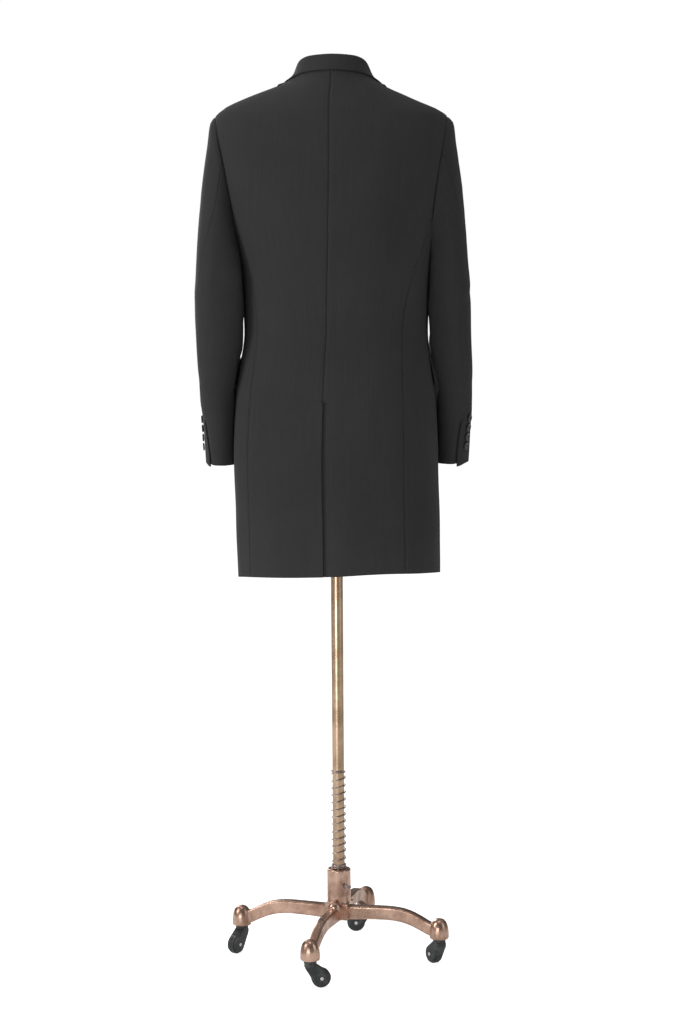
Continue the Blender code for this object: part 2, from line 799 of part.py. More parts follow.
def front_high_column(x_of, x_top, share, side):
    """The rows of one front column from the foot of the armhole to the shoulder seam."""
    z_top = float(shoulder_height(x_top))
    dense = []
    for t in np.linspace(0.0, 1.0, 80):
        part = math.sin(0.5 * math.pi * t)
        z = blend(SEAM_TOP_Z, z_top, part)
        roll_bow = roll_x(blend(SEAM_TOP_Z, NECK_SIDE_Z, part)) - blend(roll_x(SEAM_TOP_Z), NECK_SIDE_X, part)
        x = blend(side * x_of(SEAM_TOP_Z), x_top, part) + roll_bow * (1.0 - share)
        x = min(x, half_width(z))
        dense.append((side * x, y_on_torso(x, z, False), z))
    return resampled(dense, HIGH_SHARES)


def right_front_dip(x, z):
    """How far the right front lies in, where the left front covers it."""
    reach = ramp(1.0 + (x - roll_x(z) + FRONT_DIP_START) / FRONT_DIP_REACH)
    fade = ramp(1.0 - (z - FRONT_DIP_TOP_Z) / FRONT_DIP_FADE)
    return -LAP_DROP * reach * fade


def make_front(side_name, material, parent):
    side = SIDES[side_name]
    grid = behind_shoulder_seam(front_grid(side), False)
    lift = None
    if side_name == "right":
        lift = [[right_front_dip(x, z) for x, y, z in row] for row in grid]
    return new_object(f"front_{side_name}", torso_wall(grid, lift=lift), material, parent)


LAPEL_ROWS = 9
LAPEL_COLUMNS = 4


def make_lapel(side_name, material, parent):
    side = SIDES[side_name]
    edge = np.array([(x, 0.0, z) for x, z in LAPEL_EDGE])
    start = LAPEL_START_SHARE[side_name]
    shares = np.linspace(start, 1.0, LAPEL_ROWS)
    edge_points = resampled(edge, shares)
    grid = []
    lift = []
    for r, share in enumerate(shares):
        z_roll = blend(LAPEL_EDGE[0][1], GORGE_TOP_Z, share)
        row = []
        for c in range(LAPEL_COLUMNS + 1):
            t = c / LAPEL_COLUMNS
            x = blend(roll_x(z_roll), edge_points[r][0], t)
            z = blend(z_roll, edge_points[r][2], t)
            row.append((side * x, y_on_torso(x, z, False), z))
        grid.append(row)
        lift.append([right_front_dip(x, z) if side_name == "right" else 0.0 for x, y, z in row])
    mesh = torso_wall(grid, out=LAY_ROOM + CLOTH, lift=lift)
    return new_object(f"lapel_{side_name}", mesh, material, parent)


def collar_station(row, side):
    """The collar's closed profile at one station, from its fold, leaf edge and stand foot."""
    _, fold_x, fold_y, fold_z, edge_x, edge_z, behind, foot_x, foot_z = row
    behind = behind > 0.0
    edge_x = min(edge_x, half_width(edge_z))
    foot_x = min(foot_x, half_width(foot_z))
    foot_behind = behind if foot_x < half_width(foot_z) - 1e-5 else True
    edge_at = (side * edge_x, y_on_torso(edge_x, edge_z, behind), edge_z)
    foot_at = (side * foot_x, y_on_torso(foot_x, foot_z, foot_behind), foot_z)
    leaf_room = LEAF_GAP + RIDGE_ROOM * ramp(1.0 - abs(edge_at[1]) / RIDGE_REACH)
    foot_room = Vector((0.0, 0.0, FOOT_GAP + RIDGE_ROOM * ramp(1.0 - abs(foot_at[1]) / RIDGE_REACH)))
    leaf_out = placed(*edge_at, leaf_room + CLOTH)
    leaf_in = placed(*edge_at, leaf_room)
    foot_out = placed(*foot_at, 0.0) + foot_room
    foot_in = placed(*foot_at, -CLOTH) + foot_room
    shift = float(torso_shift(fold_z))
    angle = math.radians(float(torso_turn(fold_z)))
    flat = Vector((side * fold_x, fold_y, 0.0))
    flat = Matrix.Rotation(angle, 3, "Z") @ flat
    fold = Vector((flat.x + shift, flat.y, fold_z))
    away = Vector((leaf_out.x - foot_in.x, leaf_out.y - foot_in.y, 0.0)).normalized()
    down = Vector((0.0, 0.0, -1.0))
    return [
        leaf_out,
        leaf_out.lerp(fold, 0.5) + away * 0.0022,
        fold + away * 0.0030 + down * 0.0014,
        fold,
        fold - away * 0.0026 + down * 0.0016,
        foot_in.lerp(fold, 0.4) - away * 0.0012,
        foot_in,
        foot_out,
        fold + down * 0.0040 + away * 0.0003,
        leaf_in,
    ]


def make_collar(material, parent):
    columns = [column(COLLAR, 0, k) for k in range(len(COLLAR[0]))]
    half = []
    for share in COLLAR_SHARES:
        row = [float(value(share)) for value in columns]
        row[6] = 1.0 if row[6] > 0.0 else -1.0
        half.append(row)
    profiles = [collar_station(row, -1.0) for row in reversed(half[1:])]
    profiles += [collar_station(row, 1.0) for row in half]
    mesh = bmesh.new()
    rings = [[mesh.verts.new(point) for point in profile] for profile in profiles]
    count = len(rings[0])
    for first, second in zip(rings, rings[1:]):
        for k in range(count):
            after = (k + 1) % count
            mesh.faces.new([first[k], first[after], second[after], second[k]])
    mesh.faces.new(list(reversed(rings[0])))
    mesh.faces.new(rings[-1])
    ends = [face for face in mesh.faces if len(face.verts) > 4]
    bmesh.ops.triangulate(mesh, faces=ends, ngon_method="EAR_CLIP")
    bmesh.ops.recalc_face_normals(mesh, faces=mesh.faces)
    return new_object("collar", mesh, material, parent)


SLEEVE_AROUND = 72


@functools.lru_cache(maxsize=None)
def torso_outline(z, side):
    """The coat's outline on one side at one height: y values in rising order, and how far out each is."""
    outline = [placed(*at_section_angle(angle, z, side)) for angle in np.linspace(-1.45, 1.45, 60)]
    outline.sort(key=lambda point: point.y)
    return np.array([p.y for p in outline]), np.array([side * p.x for p in outline])


def torso_reach(y, z, side):
    """How far out the coat's torso reaches at this y and height, on this side."""
    ys, xs = torso_outline(round(z, 3), side)
    return float(np.interp(y, ys, xs, left=0.0, right=0.0))


def sleeve_clearance(z):
    """More room beside the pocket flaps."""
    low = ramp((z - FLAP_BOTTOM_Z + 0.030) / 0.024)
    high = ramp((FLAP_TOP_Z + 0.055 - z) / 0.024)
    return blend(SLEEVE_CLEARANCE, FLAP_CLEARANCE, low * high)


def sleeve_swell(bearing_deg, z):
    """How far the sleeve reaches in behind the body."""
    around = (bearing_deg - SLEEVE_SWELL_DEG) / SLEEVE_SWELL_WIDTH
    along = (z - SLEEVE_SWELL_Z) / SLEEVE_SWELL_REACH
    return SLEEVE_SWELL * math.exp(-around * around - along * along)


def signed_power(value):
    return math.copysign(abs(value) ** SLEEVE_POWER, value)


def sleeve_rings(side_name):
    """The sleeve's outer points: rings from the armhole down to the cuff, each a full turn of bearings."""
    side = SIDES[side_name]
    bearings = np.radians(np.arange(SLEEVE_AROUND) * 360.0 / SLEEVE_AROUND)
    first = []
    for bearing in np.degrees(bearings):
        x, y, z = armhole_point(bearing if bearing <= 180.0 else bearing - 360.0, side)
        point = placed(x, y, z)
        first.append(Vector((side * point.x + SLEEVE_SHIFT, point.y, point.z)))
    top, bottom = first[0], first[SLEEVE_AROUND // 2]
    rows = SLEEVE_ROWS[side_name]
    z_arm, outer_arm, inner_arm, back_arm, front_arm = rows[0]
    head = [tuple(top)] + [(x, 0.0, z) for x, z in SLEEVE_HEAD[side_name]] + [(outer_arm, 0.0, z_arm)]
    under = [tuple(bottom), (bottom.x + 0.0022, 0.0, UNDERARM_Z - 0.012), (inner_arm, 0.0, z_arm)]
    shares = (np.arange(SLEEVE_HEAD_RINGS + 1) / SLEEVE_HEAD_RINGS) ** 1.35
    outer_line = resampled(head, shares)
    inner_line = resampled(under, shares)
    back_start, front_start = first[SLEEVE_AROUND // 4], first[3 * SLEEVE_AROUND // 4]
    middle_arm = 0.5 * (outer_arm + inner_arm)
    rings = []
    start_shape = None
    for k, share in enumerate(shares):
        outer_point = Vector(outer_line[k])
        inner_point = Vector(inner_line[k])
        centre = outer_point.lerp(inner_point, 0.5)
        back = back_start.lerp(Vector((middle_arm, back_arm, z_arm)), share)
        front = front_start.lerp(Vector((middle_arm, front_arm, z_arm)), share)
        shape = []
        for bearing in bearings:
            across, along = signed_power(math.cos(bearing)), signed_power(math.sin(bearing))
            point = centre + (outer_point - centre) * across
            point += (back - centre) * along if along > 0.0 else (front - centre) * -along
            shape.append(point)
        if start_shape is None:
            start_shape = shape
        keep = (1.0 - share) ** 2
        rings.append([p + (f - s) * keep for p, f, s in zip(shape, first, start_shape)])
    for z, outer_x, inner_x, back_y, front_y in rows[1:]:
        tilt = CUFF_TILT * ramp((1.20 - z) / 0.20)
        middle_x, middle_y = 0.5 * (outer_x + inner_x), 0.5 * (back_y + front_y)
        ring = []
        for bearing in bearings:
            x = middle_x + 0.5 * (outer_x - inner_x) * signed_power(math.cos(bearing))
            y = middle_y + 0.5 * (back_y - front_y) * signed_power(math.sin(bearing))
            ring.append(Vector((x, y, z - tilt * (y - middle_y))))
        rings.append(ring)
    for ring in rings[1:]:
        for bearing, point in zip(np.degrees(bearings), ring):
            point.x -= sleeve_swell(bearing, point.z)
            if point.z < UNDERARM_Z + 0.004:
                point.x = max(point.x, torso_reach(point.y, point.z, side) + sleeve_clearance(point.z))
    return rings


def ring_point(rings, k, bearing_deg):
    """A point of ring k at any bearing, between its computed ones."""
    at = (bearing_deg % 360.0) / 360.0 * SLEEVE_AROUND
    low = int(math.floor(at))
    return rings[k][low % SLEEVE_AROUND].lerp(rings[k][(low + 1) % SLEEVE_AROUND], at - low)


def ring_normal(rings, k, bearing_deg):
    """The outward direction of the sleeve at ring k and this bearing."""
    around = ring_point(rings, k, bearing_deg + 6.0) - ring_point(rings, k, bearing_deg - 6.0)
    above, below = max(k - 1, 0), min(k + 1, len(rings) - 1)
    along = ring_point(rings, below, bearing_deg) - ring_point(rings, above, bearing_deg)
    normal = along.cross(around).normalized()
    middle = sum(rings[k], Vector()) / len(rings[k])
    return normal if normal.dot(ring_point(rings, k, bearing_deg) - middle) > 0.0 else -normal


def sleeve_strip(rings, side, starts, ends, columns, corner_drop=0.0):
    """The wall of one sleeve piece, between its two seams' bearings on each ring."""
    outer, inner = [], []
    for k in range(len(rings)):
        outer_row, inner_row = [], []
        for c in range(columns + 1):
            bearing = blend(starts[k], ends[k], c / columns)
            point = ring_point(rings, k, bearing)
            normal = ring_normal(rings, k, bearing)
            lower = point - normal * CLOTH
            outer_row.append(Vector((side * point.x, point.y, point.z)))
            inner_row.append(Vector((side * lower.x, lower.y, lower.z)))
        outer.append(outer_row)
        inner.append(inner_row)
    outer[-1][-1].z -= corner_drop
    inner[-1][-1].z -= corner_drop
    return wall_mesh(outer, inner)


def hind_seam_bearings(side_name, count):
    bearing_at = smooth_curve(*zip(*HIND_SEAM[side_name]))
    return [float(bearing_at(k / (count - 1))) for k in range(count)]


TOP_SLEEVE_COLUMNS = 12
UNDER_SLEEVE_COLUMNS = 9
# How far the top sleeve's corner hangs below the hem at the cuff's vent
CUFF_CORNER_DROP = {"left": 0.0015, "right": 0.0045}
SEAM_HALF_GAP_DEG = 0.45


def make_sleeve(side_name, material, parent):
    side = SIDES[side_name]
    rings = sleeve_rings(side_name)
    hind = hind_seam_bearings(side_name, len(rings))
    top_starts = [FORE_SEAM_DEG + SEAM_HALF_GAP_DEG] * len(rings)
    top_ends = [bearing - SEAM_HALF_GAP_DEG for bearing in hind]
    under_starts = [bearing + SEAM_HALF_GAP_DEG for bearing in hind]
    under_ends = [360.0 + FORE_SEAM_DEG - SEAM_HALF_GAP_DEG] * len(rings)
    drop = CUFF_CORNER_DROP[side_name]
    top = sleeve_strip(rings, side, top_starts, top_ends, TOP_SLEEVE_COLUMNS, drop)
    under = sleeve_strip(rings, side, under_starts, under_ends, UNDER_SLEEVE_COLUMNS)
    new_object(f"top_sleeve_{side_name}", top, material, parent)
    new_object(f"under_sleeve_{side_name}", under, material, parent)
    return rings, hind


def make_flap(side_name, material, parent):
    """A pocket flap on the hip; its rear lower corner stands a little off the cloth."""
    side = SIDES[side_name]
    columns, rows = 6, 3
    grid, lift = [], []
    for r in range(rows + 1):
        down = r / rows
        z = blend(FLAP_TOP_Z, FLAP_BOTTOM_Z, down)
        row, lifts = [], []
        for c in range(columns + 1):
            y = blend(FLAP_REAR_Y, FLAP_FRONT_Y, c / columns)
            row.append((side * x_on_torso(y, z), y, z))
            rear = ramp(1.0 - c / 2.5)
            lifts.append(FLAP_LIFT * down * (0.35 + 0.65 * rear))
        grid.append(row)
        lift.append(lifts)
    mesh = torso_wall(grid, out=LAY_ROOM + CLOTH, lift=lift)
    return new_object(f"flap_{side_name}", mesh, material, parent)


def disc_mesh(profile, around=12):
    """A closed turned piece from its half profile, from the axis at the foot to the axis at the top."""
    mesh = bmesh.new()
    rings = []
    for radius, height in profile:
        if radius == 0.0:
            rings.append([mesh.verts.new((0.0, 0.0, height))])
            continue
        turn = 2.0 * math.pi / around
        corners = [(radius * math.cos(k * turn), radius * math.sin(k * turn), height) for k in range(around)]
        rings.append([mesh.verts.new(corner) for corner in corners])
    for low, high in zip(rings, rings[1:]):
        for k in range(around):
            after = (k + 1) % around
            corners = [low[k % len(low)], low[after % len(low)], high[after % len(high)], high[k % len(high)]]
            mesh.faces.new(list(dict.fromkeys(corners)))
    bmesh.ops.recalc_face_normals(mesh, faces=mesh.faces)
    return mesh


def button_profile(radius, thickness):
    """A round button with a rim and a shallow dish."""
    return (
        (0.0, 0.0),
        (0.80 * radius, 0.0),
        (radius, 0.45 * thickness),
        (0.93 * radius, thickness),
        (0.74 * radius, 0.95 * thickness),
        (0.62 * radius, 0.72 * thickness),
        (0.0, 0.72 * thickness),
    )


def facing(direction):
    return direction.to_track_quat("Z", "Y").to_matrix().to_4x4()


def make_button(name, radius, thickness, lift, point, normal, material, parent):
    button = new_object(name, disc_mesh(button_profile(radius, thickness)), material, parent)
    button.matrix_local = Matrix.Translation(point + normal * lift) @ facing(normal)
    return button


def make_cuff_buttons(side_name, rings, hind, material, parent):
    side = SIDES[side_name]
    bearings = [bearing - CUFF_BUTTON_FROM_SEAM_DEG[side_name] for bearing in hind]
    heights = [ring_point(rings, k, bearings[k]).z for k in range(len(rings))]
    for number in range(4):
        z = CUFF_BUTTON_TOP_Z - CUFF_BUTTON_PITCH * number
        above = max(k for k, height in enumerate(heights[:-1]) if height > z)
        below = above + 1
        share = (heights[above] - z) / (heights[above] - heights[below])
        point = ring_point(rings, above, bearings[above])
        point = point.lerp(ring_point(rings, below, bearings[below]), share)
        normal = ring_normal(rings, above, bearings[above])
        normal = normal.lerp(ring_normal(rings, below, bearings[below]), share)
        point = Vector((side * point.x, point.y, point.z))
        normal = Vector((side * normal.x, normal.y, normal.z)).normalized()
        name = f"cuff_button_{side_name}_{number + 1}"
        make_button(name, CUFF_BUTTON_RADIUS, CUFF_BUTTON_THICKNESS, LAY_GAP, point, normal, material, parent)


def make_front_buttons(material, parent):
    for number, (z, lift) in enumerate(FRONT_BUTTONS):
        at = (0.0, y_on_torso(0.0, z, False), z)
        point, beyond = placed(*at), placed(*at, 0.010)
        normal = (beyond - point).normalized()
        name = f"front_button_{number + 1}"
        make_button(name, FRONT_BUTTON_RADIUS, FRONT_BUTTON_THICKNESS, lift, point, normal, material, parent)


def make_form(material, parent):
    """The limbless dress form: the coat's torso shape drawn in, closed below, with a short neck."""
    inset = column(FORM_INSET, 0, 1)
    rings = []
    for z in FORM_RINGS_Z:
        ring = []
        away = float(inset(z))
        for k in range(FORM_AROUND):
            angle = 2.0 * math.pi * k / FORM_AROUND
            side = 1.0 if math.cos(angle) >= 0.0 else -1.0
            x, y, _ = at_section_angle(math.asin(math.sin(angle)), z, side)
            narrowed = FORM_SHOULDER_DRAW * ramp((abs(x) - 0.140) / 0.050)
            ring.append(placed(x, y, z, -away - narrowed))
        rings.append(ring)
    bottom = [Vector((p.x * FORM_EDGE_SHARE, p.y * FORM_EDGE_SHARE, FORM_BOTTOM_Z)) for p in rings[0]]
    rings.insert(0, bottom)
    for z, wide, middle_y, deep in FORM_NECK:
        shift = float(torso_shift(min(z, NECK_BACK_Z)))
        turns = [2.0 * math.pi * k / FORM_AROUND for k in range(FORM_AROUND)]
        rings.append([Vector((shift + wide * math.cos(t), middle_y + deep * math.sin(t), z)) for t in turns])
    mesh = bmesh.new()
    made = [[mesh.verts.new(point) for point in ring] for ring in rings]
    for low, high in zip(made, made[1:]):
        for k in range(FORM_AROUND):
            after = (k + 1) % FORM_AROUND
            mesh.faces.new([low[k], low[after], high[after], high[k]])
    mesh.faces.new(list(reversed(made[0])))
    mesh.faces.new(made[-1])
    bmesh.ops.triangulate(mesh, faces=[face for face in mesh.faces if len(face.verts) > 4])
    bmesh.ops.recalc_face_normals(mesh, faces=mesh.faces)
    form = new_object("dress_form", mesh, material, parent)
    socket_profile = rod_profile(
        POLE_RADIUS + POLE_CLEARANCE, FORM_BOTTOM_Z - CUTTER_MARGIN, FORM_BOTTOM_Z + POLE_SOCKET_DEPTH
    )
    boolean(form, turned_cutter("socket_cutter", socket_profile, parent), "DIFFERENCE")
    return form


def rod_profile(radius, low, high):
    """The half profile of a plain round rod between two heights."""
    return (0.0, low), (radius, low), (radius, high), (0.0, high)


def turned_cutter(name, profile, parent, around=24):
    return as_helper(new_object(name, disc_mesh(profile, around), bpy.data.materials["cutter"], parent))


def boolean(target, other, operation):
    modifier = target.modifiers.new(operation.lower(), "BOOLEAN")
    modifier.object = other
    modifier.operation = operation
    modifier.solver = "EXACT"


def as_helper(helper):
    helper.hide_render = True
    helper.display_type = "WIRE"
    return helper


def make_pole(material, parent):
    top = FORM_BOTTOM_Z + POLE_SOCKET_DEPTH - RUNNING_GAP
    profile = (
        (0.0, POLE_FOOT_Z),
        (POLE_RADIUS - 0.001, POLE_FOOT_Z),
        (POLE_RADIUS, POLE_FOOT_Z + 0.001),
        (POLE_RADIUS, top),
        (0.0, top),
    )
    return new_object("pole", disc_mesh(profile, 28), material, parent)


def make_hub(material, parent):
    profile = (
        (0.0, HUB_FOOT_Z),
        (HUB_RADIUS - 0.0010, HUB_FOOT_Z),
        (HUB_RADIUS, HUB_FOOT_Z + 0.0010),
        (HUB_RADIUS, HUB_TOP_Z - 0.0020),
        (HUB_RADIUS - 0.0020, HUB_TOP_Z),
        (0.0, HUB_TOP_Z),
    )
    hub = new_object("hub", disc_mesh(profile, 28), material, parent)
    block_mesh = bmesh.new()
    bmesh.ops.create_cube(block_mesh, size=1.0)
    size = Vector((2 * HUB_BLOCK_HALF, 2 * HUB_BLOCK_HALF, HUB_BLOCK_TOP_Z - HUB_FOOT_Z + 0.0004))
    bmesh.ops.scale(block_mesh, vec=size, verts=block_mesh.verts)
    upright = [edge for edge in block_mesh.edges if abs(edge.verts[0].co.z - edge.verts[1].co.z) > 0.01]
    bmesh.ops.bevel(block_mesh, geom=upright, offset=0.006, segments=2, profile=0.5, affect="EDGES")
    block = as_helper(new_object("hub_block", block_mesh, material, parent))
    block.location = (0.0, 0.0, 0.5 * (HUB_BLOCK_TOP_Z + HUB_FOOT_Z) - 0.0002)
    block.rotation_euler = (0.0, 0.0, math.radians(BASE_TURN_DEG))
    boolean(hub, block, "UNION")
    bore = rod_profile(POLE_RADIUS + POLE_CLEARANCE, HUB_FOOT_Z - CUTTER_MARGIN, HUB_TOP_Z + CUTTER_MARGIN)
    boolean(hub, turned_cutter("hub_bore", bore, parent), "DIFFERENCE")
    hole_profile = rod_profile(SCREW_SHANK_RADIUS + RUNNING_GAP, 0.0, HUB_RADIUS + CUTTER_MARGIN)
    hole = turned_cutter("screw_hole", hole_profile, parent, around=12)
    hole.matrix_local = screw_frame()
    boolean(hub, hole, "DIFFERENCE")
    return hub


def screw_frame():
    """The lock screw's frame: its own Z runs out of the hub along the screw."""
    bearing = math.radians(SCREW_BEARING_DEG)
    out = Vector((math.cos(bearing), math.sin(bearing), 0.0))
    return Matrix.Translation((0.0, 0.0, SCREW_Z)) @ facing(out)


def make_lock_screw(material, parent):
    start = POLE_RADIUS + RUNNING_GAP
    seat = HUB_RADIUS + LAY_GAP
    profile = (
        (0.0, start),
        (SCREW_SHANK_RADIUS, start),
        (SCREW_SHANK_RADIUS, seat),
        (SCREW_HEAD_RADIUS, seat),
        (SCREW_HEAD_RADIUS, seat + SCREW_HEAD_LENGTH - 0.001),
        (SCREW_HEAD_RADIUS - 0.001, seat + SCREW_HEAD_LENGTH),
        (0.0, seat + SCREW_HEAD_LENGTH),
    )
    screw = new_object("lock_screw", disc_mesh(profile, 12), material, parent)
    ring_mesh = bmesh.new()
    ring_around, wire_around = 14, 6
    loops = []
    for k in range(ring_around):
        turn = 2.0 * math.pi * k / ring_around
        loop = []
        for j in range(wire_around):
            tilt = 2.0 * math.pi * j / wire_around
            radius = SCREW_RING_RADIUS + SCREW_RING_WIRE * math.cos(tilt)
            loop.append(
                ring_mesh.verts.new(
                    (radius * math.cos(turn), SCREW_RING_WIRE * math.sin(tilt), radius * math.sin(turn))
                )
            )
        loops.append(loop)
    for k in range(ring_around):
        near, far = loops[k], loops[(k + 1) % ring_around]
        for j in range(wire_around):
            after = (j + 1) % wire_around
            ring_mesh.faces.new([near[j], near[after], far[after], far[j]])
    bmesh.ops.translate(ring_mesh, verts=ring_mesh.verts, vec=(0.0, 0.0, seat + SCREW_HEAD_LENGTH + 0.0035))
    bmesh.ops.recalc_face_normals(ring_mesh, faces=ring_mesh.faces)
    ring = as_helper(new_object("screw_ring", ring_mesh, material, parent))
    boolean(screw, ring, "UNION")
    screw.matrix_local = screw_frame()
    ring.matrix_local = screw_frame()
    return screw


def make_spring(material, parent):
    """A wire coil round the pole: close turns at the foot, open turns, then a close turn on top."""
    low = HUB_TOP_Z + RUNNING_GAP + SPRING_WIRE_RADIUS
    close_pitch = 2.0 * SPRING_WIRE_RADIUS + LAY_GAP
    closed_low, closed_top = SPRING_CLOSED_TURNS
    rise_low = closed_low * close_pitch
    rise_top = closed_top * close_pitch
    open_rise = SPRING_TOP_Z - SPRING_WIRE_RADIUS - low - rise_low - rise_top
    total = closed_low + SPRING_OPEN_TURNS + closed_top
    count = int(total * SPRING_STEPS_PER_TURN)
    mesh = bmesh.new()
    rings = []
    for k in range(count + 1):
        turns = total * k / count
        if turns < closed_low:
            z = low + turns * close_pitch
        elif turns < closed_low + SPRING_OPEN_TURNS:
            z = low + rise_low + open_rise * (turns - closed_low) / SPRING_OPEN_TURNS
        else:
            z = low + rise_low + open_rise + (turns - closed_low - SPRING_OPEN_TURNS) * close_pitch
        angle = 2.0 * math.pi * turns
        out = Vector((math.cos(angle), math.sin(angle), 0.0))
        ring = []
        for j in range(SPRING_SIDES):
            tilt = 2.0 * math.pi * j / SPRING_SIDES
            reach = SPRING_COIL_RADIUS + SPRING_WIRE_RADIUS * math.cos(tilt)
            rise = z + SPRING_WIRE_RADIUS * math.sin(tilt)
            ring.append(mesh.verts.new(out * reach + Vector((0.0, 0.0, rise))))
        rings.append(ring)
    for near, far in zip(rings, rings[1:]):
        for j in range(SPRING_SIDES):
            after = (j + 1) % SPRING_SIDES
            mesh.faces.new([near[j], near[after], far[after], far[j]])
    mesh.faces.new(list(reversed(rings[0])))
    mesh.faces.new(rings[-1])
    bmesh.ops.recalc_face_normals(mesh, faces=mesh.faces)
    return new_object("spring", mesh, material, parent)


def make_leg(name, angle_deg, with_knuckle, material, parent):
    """A cast leg: an arched bar of rectangular section that ends in a domed cap."""
    mesh = bmesh.new()
    rings = []
    for reach, top, foot, half in LEG_BAR:
        edge = LEG_EDGE_BEVEL
        corners = (
            (-half, foot), (half, foot), (half, top - edge),
            (half - edge, top), (-half + edge, top), (-half, top - edge),
        )
        rings.append([mesh.verts.new((reach, y, z)) for y, z in corners])
    for near, far in zip(rings, rings[1:]):
        for k in range(6):
            after = (k + 1) % 6
            mesh.faces.new([near[k], near[after], far[after], far[k]])
    mesh.faces.new(list(reversed(rings[0])))
    mesh.faces.new(rings[-1])
    bmesh.ops.recalc_face_normals(mesh, faces=mesh.faces)
    leg = new_object(name, mesh, material, parent)
    turned = ((0.0, CAP_PROFILE[0][1]),) + CAP_PROFILE
    cap = as_helper(new_object(f"{name}_cap", disc_mesh(turned, 20), material, parent))
    turn = Matrix.Rotation(math.radians(angle_deg), 4, "Z")
    leg.matrix_local = turn
    cap.matrix_local = turn @ Matrix.Translation((LEG_REACH, 0.0, 0.0))
    boolean(leg, cap, "UNION")
    if with_knuckle:
        knuckle_mesh = bmesh.new()
        bmesh.ops.create_uvsphere(knuckle_mesh, u_segments=14, v_segments=8, radius=KNUCKLE_RADIUS)
        for vertex in knuckle_mesh.verts:
            vertex.co.x *= KNUCKLE_FLATNESS
        knuckle = as_helper(new_object(f"{name}_knuckle", knuckle_mesh, material, parent))
        knuckle.matrix_local = turn @ Matrix.Translation((KNUCKLE_REACH, 0.0, KNUCKLE_Z))
        boolean(leg, knuckle, "UNION")
    return leg


def hood_outline():
    """The hood seen from the side: two arcs, round the stem and round the wheel, joined by straight lines."""
    stem = Vector((0.0, HOOD_TOP_Z))
    wheel = Vector((CASTER_TRAIL, WHEEL_RADIUS))
    between = wheel - stem
    lean = math.atan2(between.y, between.x)
    spread = math.acos((HOOD_TOP_RADIUS - HOOD_CHEEK_RADIUS) / between.length)
    points = []
    for t in np.linspace(spread, 2.0 * math.pi - spread, 6):
        points.append(stem + HOOD_TOP_RADIUS * Vector((math.cos(lean + t), math.sin(lean + t))))
    for t in np.linspace(-spread, spread, 9):
        points.append(wheel + HOOD_CHEEK_RADIUS * Vector((math.cos(lean + t), math.sin(lean + t))))
    return points


def lying_cylinder(name, radius, half_length, around, material, parent):
    """A cylinder along the axle's direction, through the wheel's centre."""
    profile = rod_profile(radius, -half_length, half_length)
    made = new_object(name, disc_mesh(profile, around), material, parent)
    made.matrix_local = axle_frame()
    return made


def axle_frame():
    return Matrix.Translation((CASTER_TRAIL, 0.0, WHEEL_RADIUS)) @ Matrix.Rotation(math.radians(90.0), 4, "X")


def make_caster(name, swivel, materials):
    """One caster on its swivel's own axes: +X is the way it trails."""
    hood_mesh = bmesh.new()
    outline = hood_outline()
    near = [hood_mesh.verts.new((p.x, -HOOD_HALF_WIDTH, p.y)) for p in outline]
    far = [hood_mesh.verts.new((p.x, HOOD_HALF_WIDTH, p.y)) for p in outline]
    for k in range(len(outline)):
        after = (k + 1) % len(outline)
        hood_mesh.faces.new([near[k], near[after], far[after], far[k]])
    hood_mesh.faces.new(near)
    hood_mesh.faces.new(list(reversed(far)))
    bmesh.ops.recalc_face_normals(hood_mesh, faces=hood_mesh.faces)
    hood = new_object(f"caster_hood_{name}", hood_mesh, materials["caster"], swivel)
    collar_profile = (
        (0.0, CASTER_COLLAR_FOOT_Z - 0.002),
        (CASTER_COLLAR_RADIUS, CASTER_COLLAR_FOOT_Z),
        (CASTER_COLLAR_RADIUS, CASTER_TOP_Z),
        (0.0, CASTER_TOP_Z),
    )
    collar_mesh = disc_mesh(collar_profile, 16)
    collar = as_helper(new_object(f"hood_collar_{name}", collar_mesh, materials["caster"], swivel))
    boolean(hood, collar, "UNION")
    cuts = (
        (f"hood_slot_{name}", SLOT_RADIUS, SLOT_HALF_WIDTH, 20),
        (f"axle_hole_{name}", AXLE_RADIUS + RUNNING_GAP, CUTTER_MARGIN, 10),
    )
    for cut_name, radius, half_length, around in cuts:
        cutter = lying_cylinder(cut_name, radius, half_length, around, materials["cutter"], swivel)
        boolean(hood, as_helper(cutter), "DIFFERENCE")

    axle_profile = (
        (0.0, -AXLE_HALF_LENGTH),
        (AXLE_RADIUS - 0.0006, -AXLE_HALF_LENGTH),
        (AXLE_RADIUS, -AXLE_HALF_LENGTH + 0.0006),
        (AXLE_RADIUS, AXLE_HALF_LENGTH - 0.0006),
        (AXLE_RADIUS - 0.0006, AXLE_HALF_LENGTH),
        (0.0, AXLE_HALF_LENGTH),
    )
    axle = new_object(f"caster_axle_{name}", disc_mesh(axle_profile, 10), materials["axle"], swivel)
    axle.matrix_local = axle_frame()

    tread = WHEEL_RADIUS / math.cos(math.pi / WHEEL_AROUND)
    cheek = tread - WHEEL_TREAD_EDGE
    wheel_profile = (
        (WHEEL_BORE, -WHEEL_HALF_WIDTH),
        (cheek, -WHEEL_HALF_WIDTH),
        (tread, -WHEEL_HALF_WIDTH + WHEEL_TREAD_EDGE),
        (tread, WHEEL_HALF_WIDTH - WHEEL_TREAD_EDGE),
        (cheek, WHEEL_HALF_WIDTH),
        (WHEEL_BORE, WHEEL_HALF_WIDTH),
    )
    wheel_mesh = tyre_mesh(wheel_profile, WHEEL_AROUND)
    wheel = new_object(f"caster_wheel_{name}", wheel_mesh, materials["caster"], swivel)
    wheel.matrix_local = axle_frame()


